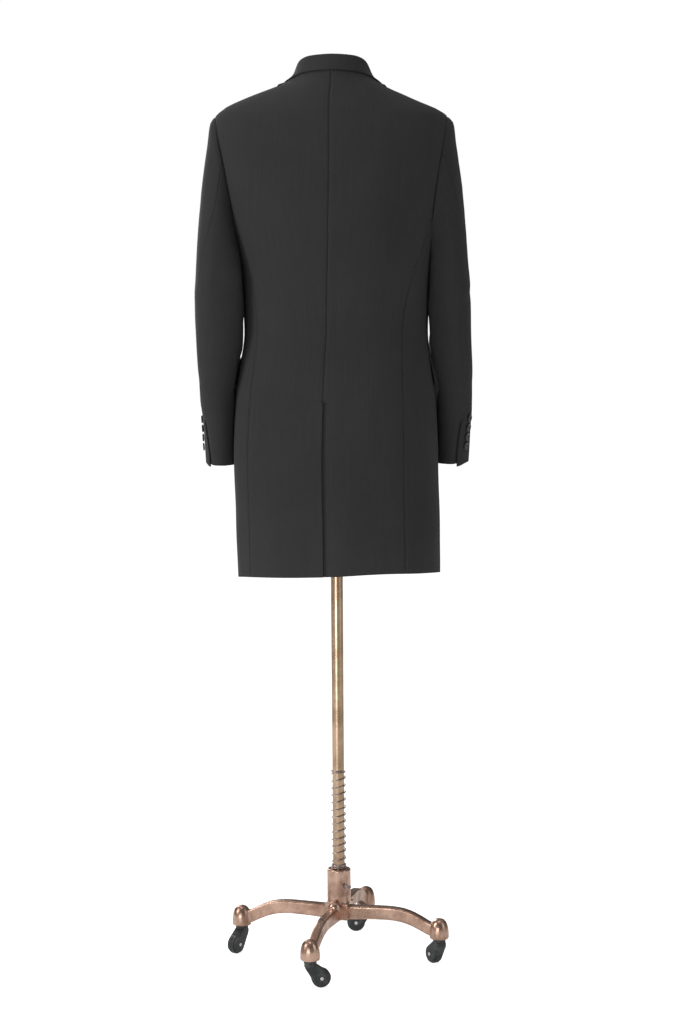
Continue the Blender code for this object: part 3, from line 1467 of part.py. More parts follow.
def tyre_mesh(profile, around):
    """A turned ring with a bore, which stands on one of its flats; its profile closes on itself."""
    mesh = bmesh.new()
    turns = [2.0 * math.pi * (k + 0.5) / around for k in range(around)]
    rings = [
        [mesh.verts.new((radius * math.cos(turn), radius * math.sin(turn), height)) for turn in turns]
        for radius, height in profile
    ]
    for j in range(len(rings)):
        low, high = rings[j], rings[(j + 1) % len(rings)]
        for k in range(around):
            after = (k + 1) % around
            mesh.faces.new([low[k], low[after], high[after], high[k]])
    bmesh.ops.recalc_face_normals(mesh, faces=mesh.faces)
    return mesh


def clear_scene():
    for old in list(bpy.data.objects):
        bpy.data.objects.remove(old)


def new_empty(name, parent=None, location=(0.0, 0.0, 0.0)):
    empty = bpy.data.objects.new(name, None)
    empty.location = location
    empty.parent = parent
    bpy.context.scene.collection.objects.link(empty)
    return empty


def main():
    clear_scene()
    materials = {
        "wool": new_material("black_wool", (0.020, 0.021, 0.023), 0.85),
        "button": new_material("horn_button", (0.060, 0.062, 0.066), 0.25),
        "form": new_material("form_cover", (0.62, 0.57, 0.48), 0.80),
        "copper": new_material("copper_casting", (0.62, 0.36, 0.27), 0.30, 1.0),
        "brass": new_material("brass_pole", (0.74, 0.50, 0.30), 0.26, 1.0),
        "steel": new_material("spring_steel", (0.42, 0.36, 0.35), 0.30, 1.0),
        "caster": new_material("caster_plastic", (0.075, 0.080, 0.078), 0.55),
        "axle": new_material("axle_white", (0.75, 0.75, 0.74), 0.35),
        "cutter": new_material("cutter", (0.5, 0.5, 0.5), 0.5),
    }
    stand = new_empty("stand_axis")
    pole_axis = new_empty("pole_axis", stand)
    form_axis = new_empty("form_axis", pole_axis)

    for side_name in SIDES:
        make_back(side_name, materials["wool"], form_axis)
        make_side_body(side_name, materials["wool"], form_axis)
        make_front(side_name, materials["wool"], form_axis)
        make_lapel(side_name, materials["wool"], form_axis)
        make_flap(side_name, materials["wool"], form_axis)
        rings, hind = make_sleeve(side_name, materials["wool"], form_axis)
        make_cuff_buttons(side_name, rings, hind, materials["button"], form_axis)
    make_collar(materials["wool"], form_axis)
    make_front_buttons(materials["button"], form_axis)
    make_form(materials["form"], form_axis)
    make_pole(materials["brass"], pole_axis)

    make_hub(materials["copper"], stand)
    make_spring(materials["steel"], stand)
    make_lock_screw(materials["steel"], stand)
    for number, name in enumerate(LEG_NAMES):
        angle = BASE_TURN_DEG + 90.0 * number
        make_leg(f"leg_{name}", angle, name == "back", materials["copper"], stand)
        turned = math.radians(angle)
        cap_at = (LEG_REACH * math.cos(turned), LEG_REACH * math.sin(turned), 0.0)
        swivel = new_empty(f"swivel_{name}", stand, cap_at)
        swivel.rotation_euler = (0.0, 0.0, math.radians(CASTER_TRAIL_DEG[name]))
        make_caster(name, swivel, materials)


main()
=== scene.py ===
"""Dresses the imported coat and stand: cloth with its seams and folds, finishes, light and camera.

Metres, +Z up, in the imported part's own frame. The coat's front faces -Y and the wearer's left is +X.
"""

import math

import bmesh
import bpy
import numpy as np
from mathutils import Matrix, Vector


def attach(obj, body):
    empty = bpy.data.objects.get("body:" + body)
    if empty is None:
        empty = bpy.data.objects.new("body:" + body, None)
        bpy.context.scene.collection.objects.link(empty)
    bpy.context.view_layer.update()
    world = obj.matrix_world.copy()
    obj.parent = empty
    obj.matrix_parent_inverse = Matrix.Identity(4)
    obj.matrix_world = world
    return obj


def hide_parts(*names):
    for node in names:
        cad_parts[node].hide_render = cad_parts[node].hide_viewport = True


SIDES = {"left": 1.0, "right": -1.0}

# Cloth
CLOTH = 0.0022
GRID_STEP = 0.0085
EDGE_STEPS = (0.0008, 0.0022, 0.0045)
SEAM_HALF_GAP = 0.00012
SEAM_DIP = 0.0011
SEAM_WIDTH = 0.0013
SEAM_SWELL = 0.0004
LAY_ROOM = 0.0006
LAP_DROP = 0.0032

# Heights and half widths of the cut
UNDERARM_Z = 1.345
SEAM_TOP_Z = 1.410
SHOULDER_END_Z = 1.600
SHOULDER_END_X = 0.2165
NECK_SIDE_X = 0.0855
NECK_SIDE_Z = 1.664
NECK_BACK_Z = 1.683
BREAK_Z = 1.320
VENT_TOP_SHARE = 0.483
FRONT_LAP_X = 0.018

# The hem: height at the middle, and how it falls towards the left and the front
HEM_Z = 0.742
HEM_FALL_LEFT = 0.035
HEM_FALL_FRONT = 0.086
HEM_SAG = 0.0035

# Torso sections: height, half width, depth behind and before, shift to the left, turn in degrees, squareness
TORSO = (
    (0.700, 0.1900, 0.1360, 0.1360, -0.0050, -12.6, 2.5),
    (0.850, 0.1925, 0.1360, 0.1340, -0.0030, -12.0, 2.5),
    (0.970, 0.1925, 0.1340, 0.1310, 0.0000, -11.3, 2.5),
    (1.080, 0.1875, 0.1250, 0.1250, 0.0000, -10.5, 2.5),
    (1.140, 0.1800, 0.1160, 0.1210, -0.0005, -9.8, 2.4),
    (1.200, 0.1730, 0.1090, 0.1190, -0.0015, -9.0, 2.4),
    (1.280, 0.1765, 0.1160, 0.1300, -0.0020, -8.0, 2.4),
    (1.345, 0.1830, 0.1230, 0.1390, -0.0030, -7.0, 2.5),
    (1.410, 0.1945, 0.1270, 0.1420, -0.0010, -5.5, 2.5),
    (1.460, 0.2035, 0.1270, 0.1360, 0.0000, -4.4, 2.5),
    (1.520, 0.2135, 0.1225, 0.1220, 0.0020, -3.0, 2.5),
    (1.565, 0.2185, 0.1145, 0.1060, 0.0040, -2.2, 2.4),
    (1.600, 0.2165, 0.1050, 0.0900, 0.0050, -1.6, 2.3),
    (1.631, 0.2165, 0.0935, 0.0780, 0.0040, -1.6, 2.2),
    (1.660, 0.2165, 0.0835, 0.0690, 0.0010, -2.0, 2.1),
    (1.690, 0.2165, 0.0735, 0.0610, 0.0010, -2.0, 2.1),
)

# The shoulder line, seen from behind: half width, height
SHOULDER = (
    (0.0600, 1.6900),
    (0.0760, 1.6740),
    (0.0855, 1.6640),
    (0.1050, 1.6545),
    (0.1270, 1.6465),
    (0.1650, 1.6315),
    (0.2030, 1.6130),
    (0.2165, 1.6000),
)

# How much lower the wearer's right shoulder lies than its left: half width, fall
RIGHT_SHOULDER_FALL = (
    (0.0700, 0.0000),
    (0.1040, 0.0048),
    (0.1300, 0.0060),
    (0.1560, 0.0070),
    (0.1810, 0.0066),
    (0.2030, 0.0045),
    (0.2165, 0.0024),
)
SHOULDER_FALL_FROM_Z = 1.500
SHOULDER_FALL_HEIGHT = 0.100

# Seams between the backs, side bodies and fronts: height, half width
SIDE_BACK_SEAM = (
    (0.700, 0.1480),
    (0.970, 0.1470),
    (1.080, 0.1430),
    (1.200, 0.1360),
    (1.300, 0.1520),
    (1.360, 0.1700),
    (1.410, 0.1862),
)
SIDE_FRONT_SEAM = (
    (0.700, 0.1500),
    (0.970, 0.1480),
    (1.080, 0.1440),
    (1.200, 0.1400),
    (1.300, 0.1500),
    (1.360, 0.1640),
    (1.410, 0.1826),
)

ARMHOLE_BACK_Y = 0.058
ARMHOLE_FRONT_Y = 0.074
ARMHOLE_SEAM_DEG = 118.9

# Where the backs and fronts run out at the top: share across, half width
BACK_TOP = ((0.0, 0.0), (0.06, 0.013), (0.15, 0.038), (0.28, 0.062), (0.42, 0.0775), (0.56, 0.0855), (0.71, 0.128), (0.86, 0.172), (1.0, 0.2165))
FRONT_TOP = ((0.0, 0.0855), (0.10, 0.100), (0.22, 0.118), (0.38, 0.138), (0.58, 0.163), (0.79, 0.190), (1.0, 0.2165))

# Hanging folds of the skirt: bearing in degrees (90 is the middle of the back), width, top, height, depth
SKIRT_FOLDS = (
    (121.0, 15.0, 1.020, 0.180, -0.0065),
    (99.0, 8.0, 0.960, 0.180, 0.0020),
    (143.0, 9.0, 0.990, 0.200, 0.0030),
    (62.0, 12.0, 0.950, 0.180, 0.0025),
    (36.0, 9.0, 0.980, 0.200, -0.0025),
    (-38.0, 10.0, 1.000, 0.200, -0.0030),
    (-62.0, 9.0, 0.960, 0.180, 0.0030),
    (-118.0, 11.0, 0.980, 0.200, 0.0030),
    (-141.0, 10.0, 1.010, 0.200, -0.0035),
)

# Soft hollows and swells of the body: bearing, width in degrees, height, reach up and down, depth
BODY_SWELLS = (
    (131.0, 9.0, 1.420, 0.150, -0.0050),
    (149.0, 7.0, 1.440, 0.120, 0.0018),
    (52.0, 9.0, 1.440, 0.120, -0.0010),
    (34.0, 6.0, 1.440, 0.110, 0.0012),
    (150.0, 14.0, 1.225, 0.040, -0.0016),
    (30.0, 14.0, 1.215, 0.040, -0.0012),
    (-40.0, 12.0, 1.230, 0.030, -0.0022),
    (-140.0, 12.0, 1.240, 0.030, -0.0022),
    (-60.0, 10.0, 1.290, 0.025, 0.0014),
    (-122.0, 10.0, 1.280, 0.025, 0.0014),
    (108.0, 10.0, 1.140, 0.060, -0.0010),
    (33.0, 12.0, 1.315, 0.110, -0.0050),
    (72.0, 10.0, 1.150, 0.060, -0.0008),
)


def smooth_curve(xs, ys):
    """A shape-keeping cubic through the points, as a function of x."""
    xs = np.asarray(xs, float)
    ys = np.asarray(ys, float)
    steps = np.diff(xs)
    slopes = np.diff(ys) / steps
    tangents = np.zeros(len(xs))
    tangents[0] = slopes[0]
    tangents[-1] = slopes[-1]
    for k in range(1, len(xs) - 1):
        if slopes[k - 1] * slopes[k] > 0.0:
            before = 2.0 * steps[k] + steps[k - 1]
            after = steps[k] + 2.0 * steps[k - 1]
            tangents[k] = (before + after) / (before / slopes[k - 1] + after / slopes[k])

    def value(x):
        x = np.clip(x, xs[0], xs[-1])
        k = np.clip(np.searchsorted(xs, x) - 1, 0, len(xs) - 2)
        h = steps[k]
        t = (x - xs[k]) / h
        return (
            (1 + 2 * t) * (1 - t) ** 2 * ys[k]
            + t * (1 - t) ** 2 * h * tangents[k]
            + t * t * (3 - 2 * t) * ys[k + 1]
            + t * t * (t - 1) * h * tangents[k + 1]
        )

    return value


def column(table, x_at, y_at):
    return smooth_curve([row[x_at] for row in table], [row[y_at] for row in table])


def ramp(x):
    """0 below 0, 1 above 1, smooth between."""
    t = np.clip(x, 0.0, 1.0)
    return t * t * (3.0 - 2.0 * t)


def bump(x, width):
    return np.exp(-((x / width) ** 2))


def blend(a, b, share):
    return a + (b - a) * share


shoulder_height = column(SHOULDER, 0, 1)
right_fall = column(RIGHT_SHOULDER_FALL, 0, 1)
low_half_width = column(TORSO, 0, 1)
back_depth = column(TORSO, 0, 2)
front_depth = column(TORSO, 0, 3)
torso_shift = column(TORSO, 0, 4)
torso_turn = column(TORSO, 0, 5)
squareness = column(TORSO, 0, 6)
side_back_x = column(SIDE_BACK_SEAM, 0, 1)
side_front_x = column(SIDE_FRONT_SEAM, 0, 1)
back_top_x = column(BACK_TOP, 0, 1)
front_top_x = column(FRONT_TOP, 0, 1)
SHOULDER_XS = np.linspace(SHOULDER[0][0], SHOULDER_END_X, 600)
SHOULDER_ZS = shoulder_height(SHOULDER_XS)


def half_width(z):
    """The section's half width: from the table below the shoulder end, from the shoulder line above it."""
    z = np.asarray(z, float)
    return np.where(z <= SHOULDER_END_Z, low_half_width(z), np.interp(z, SHOULDER_ZS[::-1], SHOULDER_XS[::-1]))


def depth(z, behind):
    return np.where(behind, back_depth(z), front_depth(z))


def y_on_torso(x, z, behind):
    n = squareness(z)
    share = np.minimum(np.abs(x) / half_width(z), 1.0)
    y = depth(z, behind) * (1.0 - share**n) ** (1.0 / n)
    return np.where(behind, y, -y)


def x_on_torso(y, z):
    n = squareness(z)
    share = np.minimum(np.abs(y) / depth(z, y > 0.0), 1.0)
    return half_width(z) * (1.0 - share**n) ** (1.0 / n)


def torso_normals(points):
    """The torso's outward direction at each point, from the slope of its section formula."""
    x, y, z = points[..., 0], points[..., 1], points[..., 2]
    step = 0.001
    n = squareness(z)
    wide, deep = half_width(z), depth(z, y > 0.0)
    wide_slope = (half_width(z + step) - half_width(z - step)) / (2.0 * step)
    deep_slope = (depth(z + step, y > 0.0) - depth(z - step, y > 0.0)) / (2.0 * step)
    across = np.abs(x) / wide
    along = np.abs(y) / deep
    normals = np.stack(
        [
            np.sign(x) * across ** (n - 1.0) / wide,
            np.sign(y) * along ** (n - 1.0) / deep,
            -(across**n * wide_slope / wide + along**n * deep_slope / deep),
        ],
        axis=-1,
    )
    return normals / np.linalg.norm(normals, axis=-1, keepdims=True)


def soft_waves(u, v, seed, waves=7):
    """A smooth uneven field between about -1 and 1, from a few fixed waves."""
    chance = np.random.default_rng(seed)
    total = np.zeros(np.broadcast(u, v).shape)
    for _ in range(waves):
        across, along = chance.uniform(-1.0, 1.0, 2)
        phase = chance.uniform(0.0, 2.0 * math.pi)
        total = total + np.sin(2.0 * math.pi * (across * u + along * v) + phase)
    return total / math.sqrt(waves)


def drape(points):
    """How far the hanging coat stands out or in at its soft folds and swells."""
    x, y, z = points[..., 0], points[..., 1], points[..., 2]
    bearing = np.degrees(np.arctan2(y / depth(z, y > 0.0), x / half_width(z)))
    total = np.zeros(x.shape)
    for centre, width, top, height, reach in SKIRT_FOLDS:
        away = (bearing - centre + 180.0) % 360.0 - 180.0
        total += reach * bump(away, width) * ramp((top - z) / height)
    for centre, width, middle, spread, reach in BODY_SWELLS:
        away = (bearing - centre + 180.0) % 360.0 - 180.0
        total += reach * bump(away, width) * bump(z - middle, spread)
    loose = 0.35 + 0.65 * ramp((1.15 - z) / 0.30)
    total += 0.0006 * loose * soft_waves(bearing / 42.0, z / 0.34, 3)
    total += 0.00022 * soft_waves(bearing / 13.0, z / 0.10, 4)
    return total


def placed(points, out=0.0):
    """Torso points as the coat hangs, moved out by a distance, and the outward directions there."""
    points = np.asarray(points, float)
    normals = torso_normals(points)
    moved = points + normals * (np.asarray(out) + drape(points))[..., None]
    angle = np.radians(torso_turn(points[..., 2]))
    cos, sin = np.cos(angle), np.sin(angle)

    def turned(vectors):
        return np.stack(
            [vectors[..., 0] * cos - vectors[..., 1] * sin, vectors[..., 0] * sin + vectors[..., 1] * cos, vectors[..., 2]],
            axis=-1,
        )

    moved = turned(moved)
    moved[..., 0] += torso_shift(points[..., 2])
    moved[..., 2] -= shoulder_fall(points[..., 0], points[..., 2])
    return moved, turned(normals)


def shoulder_fall(x, z):
    """How much lower a point hangs on the wearer's right, whose shoulder slopes more."""
    fall = np.where(x < -RIGHT_SHOULDER_FALL[0][0], right_fall(-x), 0.0)
    return fall * ramp((z - SHOULDER_FALL_FROM_Z) / SHOULDER_FALL_HEIGHT)


def hem_height(x, y):
    sag = HEM_SAG * bump(x - 0.025, 0.110) * (y > 0.0)
    return HEM_Z - HEM_FALL_LEFT * x + HEM_FALL_FRONT * y - sag


def neck_height(x):
    """The back neckline's height, from the side of the neck to the middle of the back."""
    return blend(NECK_BACK_Z, NECK_SIDE_Z, (np.abs(x) / NECK_SIDE_X) ** 2)


def armhole_points(bearings_deg, side):
    """Points of the armhole edge: 0 is the shoulder end, positive bearings run down the back."""
    bearing = np.radians(bearings_deg)
    z = 0.5 * (SHOULDER_END_Z + UNDERARM_Z) + 0.5 * (SHOULDER_END_Z - UNDERARM_Z) * np.cos(bearing)
    sway = np.sin(bearing)
    y = np.where(sway > 0.0, ARMHOLE_BACK_Y * np.abs(sway) ** 0.9, -ARMHOLE_FRONT_Y * np.abs(sway) ** 0.85)
    return np.stack([side * x_on_torso(y, z), y, z], axis=-1)


def resampled(points, shares):
    """Points at the given shares of a polyline's length."""
    points = np.asarray(points, float)
    lengths = np.concatenate([[0.0], np.cumsum(np.linalg.norm(np.diff(points, axis=0), axis=1))])
    wanted = np.asarray(shares) * lengths[-1]
    return np.stack([np.interp(wanted, lengths, points[:, k]) for k in range(points.shape[1])], axis=1)


def edged_shares(length, start=True, end=True, step=GRID_STEP):
    """Shares from 0 to 1, evenly spaced but closer at the ends that are edges."""
    near = [s / length for s in EDGE_STEPS]
    low = near[-1] if start else 0.0
    high = 1.0 - near[-1] if end else 1.0
    count = max(2, round((high - low) * length / step))
    middle = np.linspace(low, high, count + 1)
    parts = [middle]
    if start:
        parts.insert(0, np.array([0.0] + near[:-1]))
    if end:
        parts.append(np.array([1.0 - s for s in near[:-1]][::-1] + [1.0]))
    return np.concatenate(parts)


def seam_relief(distance):
    """Cloth turns in at a seam, and swells a little just beside it."""
    return -SEAM_DIP * bump(distance, SEAM_WIDTH) + SEAM_SWELL * bump(distance - 0.0045, 0.0028)


# Finishes


def new_group(name, inputs, outputs):
    """A shader node group with named sockets. Each input is (name, kind, value) and each output (name, kind)."""
    group = bpy.data.node_groups.new(name, "ShaderNodeTree")
    for label, kind, value in inputs:
        socket = group.interface.new_socket(name=label, in_out="INPUT", socket_type=f"NodeSocket{kind}")
        if value is not None:
            socket.default_value = value
    for label, kind in outputs:
        group.interface.new_socket(name=label, in_out="OUTPUT", socket_type=f"NodeSocket{kind}")
    return group, group.nodes.new("NodeGroupInput"), group.nodes.new("NodeGroupOutput")


def node(tree, kind, **settings):
    made = tree.nodes.new(f"ShaderNode{kind}")
    for key, value in settings.items():
        setattr(made, key, value)
    return made


def math_node(tree, operation, first, second=None):
    """A math node; each of its two values is a number or a socket."""
    made = node(tree, "Math", operation=operation)
    for socket, value in zip(made.inputs, (first, second)):
        if value is None:
            continue
        if isinstance(value, (int, float)):
            socket.default_value = value
        else:
            tree.links.new(value, socket)
    return made.outputs[0]


def noise(tree, vector, scale, detail=3.0, roughness=0.55):
    made = node(tree, "TexNoise")
    tree.links.new(vector, made.inputs["Vector"])
    if isinstance(scale, (int, float)):
        made.inputs["Scale"].default_value = scale
    else:
        tree.links.new(scale, made.inputs["Scale"])
    made.inputs["Detail"].default_value = detail
    made.inputs["Roughness"].default_value = roughness
    return made.outputs["Fac"]


def stretched(tree, vector, scale):
    made = node(tree, "Mapping")
    tree.links.new(vector, made.inputs["Vector"])
    made.inputs["Scale"].default_value = scale
    return made.outputs["Vector"]


def between(tree, share, low, high):
    """A value that runs from low to high as share runs from 0 to 1."""
    made = node(tree, "MapRange")
    tree.links.new(share, made.inputs["Value"])
    for label, value in (("To Min", low), ("To Max", high)):
        if isinstance(value, (int, float)):
            made.inputs[label].default_value = value
        else:
            tree.links.new(value, made.inputs[label])
    return made.outputs["Result"]


def mixed_colour(tree, share, first, second):
    made = node(tree, "Mix", data_type="RGBA")
    tree.links.new(share, made.inputs["Factor"])
    for label, value in (("A", first), ("B", second)):
        socket = next(s for s in made.inputs if s.name == label and s.type == "RGBA")
        if isinstance(value, tuple):
            socket.default_value = (*value, 1.0)
        else:
            tree.links.new(value, socket)
    return next(s for s in made.outputs if s.type == "RGBA")


def woven_wool_group():
    """Twill lines on the cloth's own threads, a short nap, slow unevenness of the dye, and painted light that lightens
    the cloth towards the hem.
    """
    group, given, result = new_group(
        "woven_wool",
        (
            ("Threads", "Vector", None),
            ("Place", "Vector", None),
            ("Light Yarn", "Color", (0.04, 0.04, 0.04, 1.0)),
            ("Dark Yarn", "Color", (0.02, 0.02, 0.02, 1.0)),
            ("Twill Scale", "Float", 300.0),
            ("Nap Scale", "Float", 700.0),
        ),
        (("Color", "Color"), ("Height", "Float"), ("Roughness", "Float")),
    )
    threads, place = given.outputs["Threads"], given.outputs["Place"]
    twill = node(group, "TexWave", wave_type="BANDS", bands_direction="DIAGONAL", wave_profile="SIN")
    group.links.new(threads, twill.inputs["Vector"])
    group.links.new(given.outputs["Twill Scale"], twill.inputs["Scale"])
    twill.inputs["Distortion"].default_value = 1.2
    twill.inputs["Detail"].default_value = 1.0
    twill.inputs["Detail Scale"].default_value = 2.0
    nap = noise(group, place, given.outputs["Nap Scale"], 2.0)
    warp = noise(group, stretched(group, threads, (260.0, 9.0, 1.0)), 1.0, 2.0)
    slow = noise(group, place, 9.0, 3.0)
    blotch = noise(group, place, 38.0, 2.0)
    height = math_node(group, "ADD", math_node(group, "MULTIPLY", twill.outputs["Fac"], 0.55), math_node(group, "MULTIPLY", nap, 0.45))
    shade = math_node(group, "ADD", math_node(group, "MULTIPLY", height, 0.35), math_node(group, "MULTIPLY", warp, 0.25))
    shade = math_node(group, "ADD", shade, math_node(group, "MULTIPLY", slow, 0.28))
    shade = math_node(group, "ADD", shade, math_node(group, "MULTIPLY", blotch, 0.12))
    # Painted light: the cloth's colour is lifted from 0.88 m down to 0.74 m, so the skirt looks lit more strongly near
    # the hem.
    height_up = node(group, "SeparateXYZ")
    group.links.new(place, height_up.inputs["Vector"])
    painted_hem_light = node(group, "MapRange")
    group.links.new(height_up.outputs["Z"], painted_hem_light.inputs["Value"])
    for label, value in (("From Min", 0.88), ("From Max", 0.74), ("To Min", 0.0), ("To Max", 0.15)):
        painted_hem_light.inputs[label].default_value = value
    shade = math_node(group, "ADD", shade, painted_hem_light.outputs["Result"])
    colour = mixed_colour(group, shade, given.outputs["Dark Yarn"], given.outputs["Light Yarn"])
    group.links.new(colour, result.inputs["Color"])
    group.links.new(height, result.inputs["Height"])
    group.links.new(between(group, blotch, 0.78, 0.90), result.inputs["Roughness"])
    return group


def worn_metal_group():
    """Cast or drawn metal: a slow change of tarnish, fine grain and small pits."""
    group, given, result = new_group(
        "worn_metal",
        (
            ("Place", "Vector", None),
            ("Bright", "Color", (0.8, 0.5, 0.4, 1.0)),
            ("Tarnished", "Color", (0.4, 0.2, 0.15, 1.0)),
            ("Patch Scale", "Float", 30.0),
            ("Grain Scale", "Float", 900.0),
            ("Low Roughness", "Float", 0.2),
            ("High Roughness", "Float", 0.45),
        ),
        (("Color", "Color"), ("Height", "Float"), ("Roughness", "Float"), ("Tarnish", "Float")),
    )
    place = given.outputs["Place"]
    patches = noise(group, place, given.outputs["Patch Scale"], 4.0, 0.6)
    grain = noise(group, place, given.outputs["Grain Scale"], 2.0)
    pits = noise(group, place, 260.0, 3.0, 0.65)
    tarnish = node(group, "MapRange")
    group.links.new(patches, tarnish.inputs["Value"])
    tarnish.inputs["From Min"].default_value = 0.40
    tarnish.inputs["From Max"].default_value = 0.66
    amount = tarnish.outputs["Result"]
    colour = mixed_colour(group, amount, given.outputs["Bright"], given.outputs["Tarnished"])
    group.links.new(colour, result.inputs["Color"])
    height = math_node(group, "ADD", math_node(group, "MULTIPLY", grain, 0.4), math_node(group, "MULTIPLY", pits, 0.6))
    group.links.new(height, result.inputs["Height"])
    rough = between(group, amount, given.outputs["Low Roughness"], given.outputs["High Roughness"])
    group.links.new(math_node(group, "ADD", rough, math_node(group, "MULTIPLY", grain, 0.06)), result.inputs["Roughness"])
    group.links.new(amount, result.inputs["Tarnish"])
    return group


def moulded_plastic_group():
    """Moulded plastic: a fine grain and scuffs."""
    group, given, result = new_group(
        "moulded_plastic",
        (
            ("Place", "Vector", None),
            ("Clean", "Color", (0.05, 0.05, 0.05, 1.0)),
            ("Scuffed", "Color", (0.2, 0.2, 0.2, 1.0)),
            ("Scuff Scale", "Float", 60.0),
            ("Low Roughness", "Float", 0.35),
            ("High Roughness", "Float", 0.65),
        ),
        (("Color", "Color"), ("Height", "Float"), ("Roughness", "Float")),
    )
    place = given.outputs["Place"]
    scuffs = noise(group, place, given.outputs["Scuff Scale"], 4.0, 0.7)
    marks = node(group, "MapRange")
    group.links.new(scuffs, marks.inputs["Value"])
    marks.inputs["From Min"].default_value = 0.50
    marks.inputs["From Max"].default_value = 0.72
    amount = marks.outputs["Result"]
    colour = mixed_colour(group, amount, given.outputs["Clean"], given.outputs["Scuffed"])
    grain = noise(group, place, 1400.0, 2.0)
    group.links.new(colour, result.inputs["Color"])
    group.links.new(grain, result.inputs["Height"])
    rough = between(group, amount, given.outputs["Low Roughness"], given.outputs["High Roughness"])
    group.links.new(rough, result.inputs["Roughness"])
    return group


def finish(name, group, values, bump_strength, bump_distance, metallic=0.0, threads=None, **shader_values):
    """A material that feeds one group's colour, roughness and height to a plain shader."""
    material = bpy.data.materials.new(name)
    material.use_nodes = True
    tree = material.node_tree
    shader = tree.nodes["Principled BSDF"]
    shader.inputs["Metallic"].default_value = metallic
    for label, value in shader_values.items():
        shader.inputs[label.replace("_", " ").title().replace("Ior", "IOR")].default_value = value
    placed_by = node(tree, "TexCoord")
    pattern = tree.nodes.new("ShaderNodeGroup")
    pattern.node_tree = group
    tree.links.new(placed_by.outputs["Object"], pattern.inputs["Place"])
    if threads:
        own_map = node(tree, "UVMap", uv_map=threads)
        tree.links.new(own_map.outputs["UV"], pattern.inputs["Threads"])
    for label, value in values.items():
        pattern.inputs[label].default_value = value if isinstance(value, (int, float)) else (*value, 1.0)
    tree.links.new(pattern.outputs["Color"], shader.inputs["Base Color"])
    tree.links.new(pattern.outputs["Roughness"], shader.inputs["Roughness"])
    relief = node(tree, "Bump")
    relief.inputs["Strength"].default_value = bump_strength
    relief.inputs["Distance"].default_value = bump_distance
    tree.links.new(pattern.outputs["Height"], relief.inputs["Height"])
    tree.links.new(relief.outputs["Normal"], shader.inputs["Normal"])
    return material


def make_finishes():
    wool = woven_wool_group()
    metal = worn_metal_group()
    plastic = moulded_plastic_group()
    coat = {"Light Yarn": (0.055, 0.055, 0.054), "Dark Yarn": (0.0190, 0.0195, 0.0200), "Twill Scale": 190.0, "Nap Scale": 900.0}
    return {
        "wool": finish("black_wool", wool, coat, 0.35, 0.0004, threads="threads", specular_ior_level=0.20, sheen_weight=0.04, sheen_roughness=0.45),
        "thread": finish(
            "sewing_thread", plastic,
            {"Clean": (0.020, 0.020, 0.021), "Scuffed": (0.045, 0.045, 0.045), "Scuff Scale": 900.0, "Low Roughness": 0.55, "High Roughness": 0.75},
            0.2, 0.0001,
        ),
        "button": finish(
            "horn_button", plastic,
            {"Clean": (0.045, 0.046, 0.050), "Scuffed": (0.115, 0.112, 0.110), "Scuff Scale": 180.0, "Low Roughness": 0.16, "High Roughness": 0.28},
            0.04, 0.0001, coat_weight=0.35,
        ),
        "cover": finish(
            "form_cover", wool,
            {"Light Yarn": (0.70, 0.65, 0.56), "Dark Yarn": (0.52, 0.47, 0.39), "Twill Scale": 260.0, "Nap Scale": 600.0},
            0.30, 0.0004, threads="threads", specular_ior_level=0.25,
        ),
        "copper": finish(
            "copper_casting", metal,
            {"Bright": (0.70, 0.47, 0.36), "Tarnished": (0.34, 0.20, 0.15), "Patch Scale": 26.0, "Grain Scale": 800.0, "Low Roughness": 0.20, "High Roughness": 0.40},
            0.30, 0.0006, metallic=1.0,
        ),
        "brass": finish(
            "brass_pole", metal,
            {"Bright": (0.64, 0.46, 0.31), "Tarnished": (0.42, 0.29, 0.19), "Patch Scale": 18.0, "Grain Scale": 1200.0, "Low Roughness": 0.16, "High Roughness": 0.26},
            0.04, 0.0002, metallic=1.0,
        ),
        "steel": finish(
            "spring_steel", metal,
            {"Bright": (0.66, 0.56, 0.52), "Tarnished": (0.34, 0.26, 0.24), "Patch Scale": 90.0, "Grain Scale": 1500.0, "Low Roughness": 0.16, "High Roughness": 0.38},
            0.12, 0.0002, metallic=1.0,
        ),
        "caster": finish(
            "caster_plastic", plastic,
            {"Clean": (0.030, 0.034, 0.034), "Scuffed": (0.110, 0.115, 0.112), "Scuff Scale": 55.0, "Low Roughness": 0.38, "High Roughness": 0.62},
            0.25, 0.0003,
        ),
        "axle": finish(
            "axle_white", plastic,
            {"Clean": (0.80, 0.80, 0.78), "Scuffed": (0.62, 0.61, 0.58), "Scuff Scale": 300.0, "Low Roughness": 0.30, "High Roughness": 0.45},
            0.05, 0.0001,
        ),
    }


FINISHES = make_finishes()


# Meshes


def add_piece(name, mesh, finish_names, body, replaced=()):
    """Links a finished mesh as a piece that rides on a body and stands for CAD nodes."""
    for finish_name in finish_names:
        mesh.materials.append(FINISHES[finish_name])
    piece = bpy.data.objects.new(name, mesh)
    bpy.context.scene.collection.objects.link(piece)
    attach(piece, body)
    if replaced:
        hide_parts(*replaced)
    return piece


def grid_distances(points):
    """Distances along the rows and down the columns of a grid of points, as thread coordinates."""
    across = np.linalg.norm(np.diff(points, axis=1), axis=2)
    along = np.linalg.norm(np.diff(points, axis=0), axis=2)
    u = np.concatenate([np.zeros((len(points), 1)), np.cumsum(across, axis=1)], axis=1)
    v = np.concatenate([np.zeros((1, points.shape[1])), np.cumsum(along, axis=0)], axis=0)
    middle = points.shape[1] // 2
    return u - u[:, middle : middle + 1], v


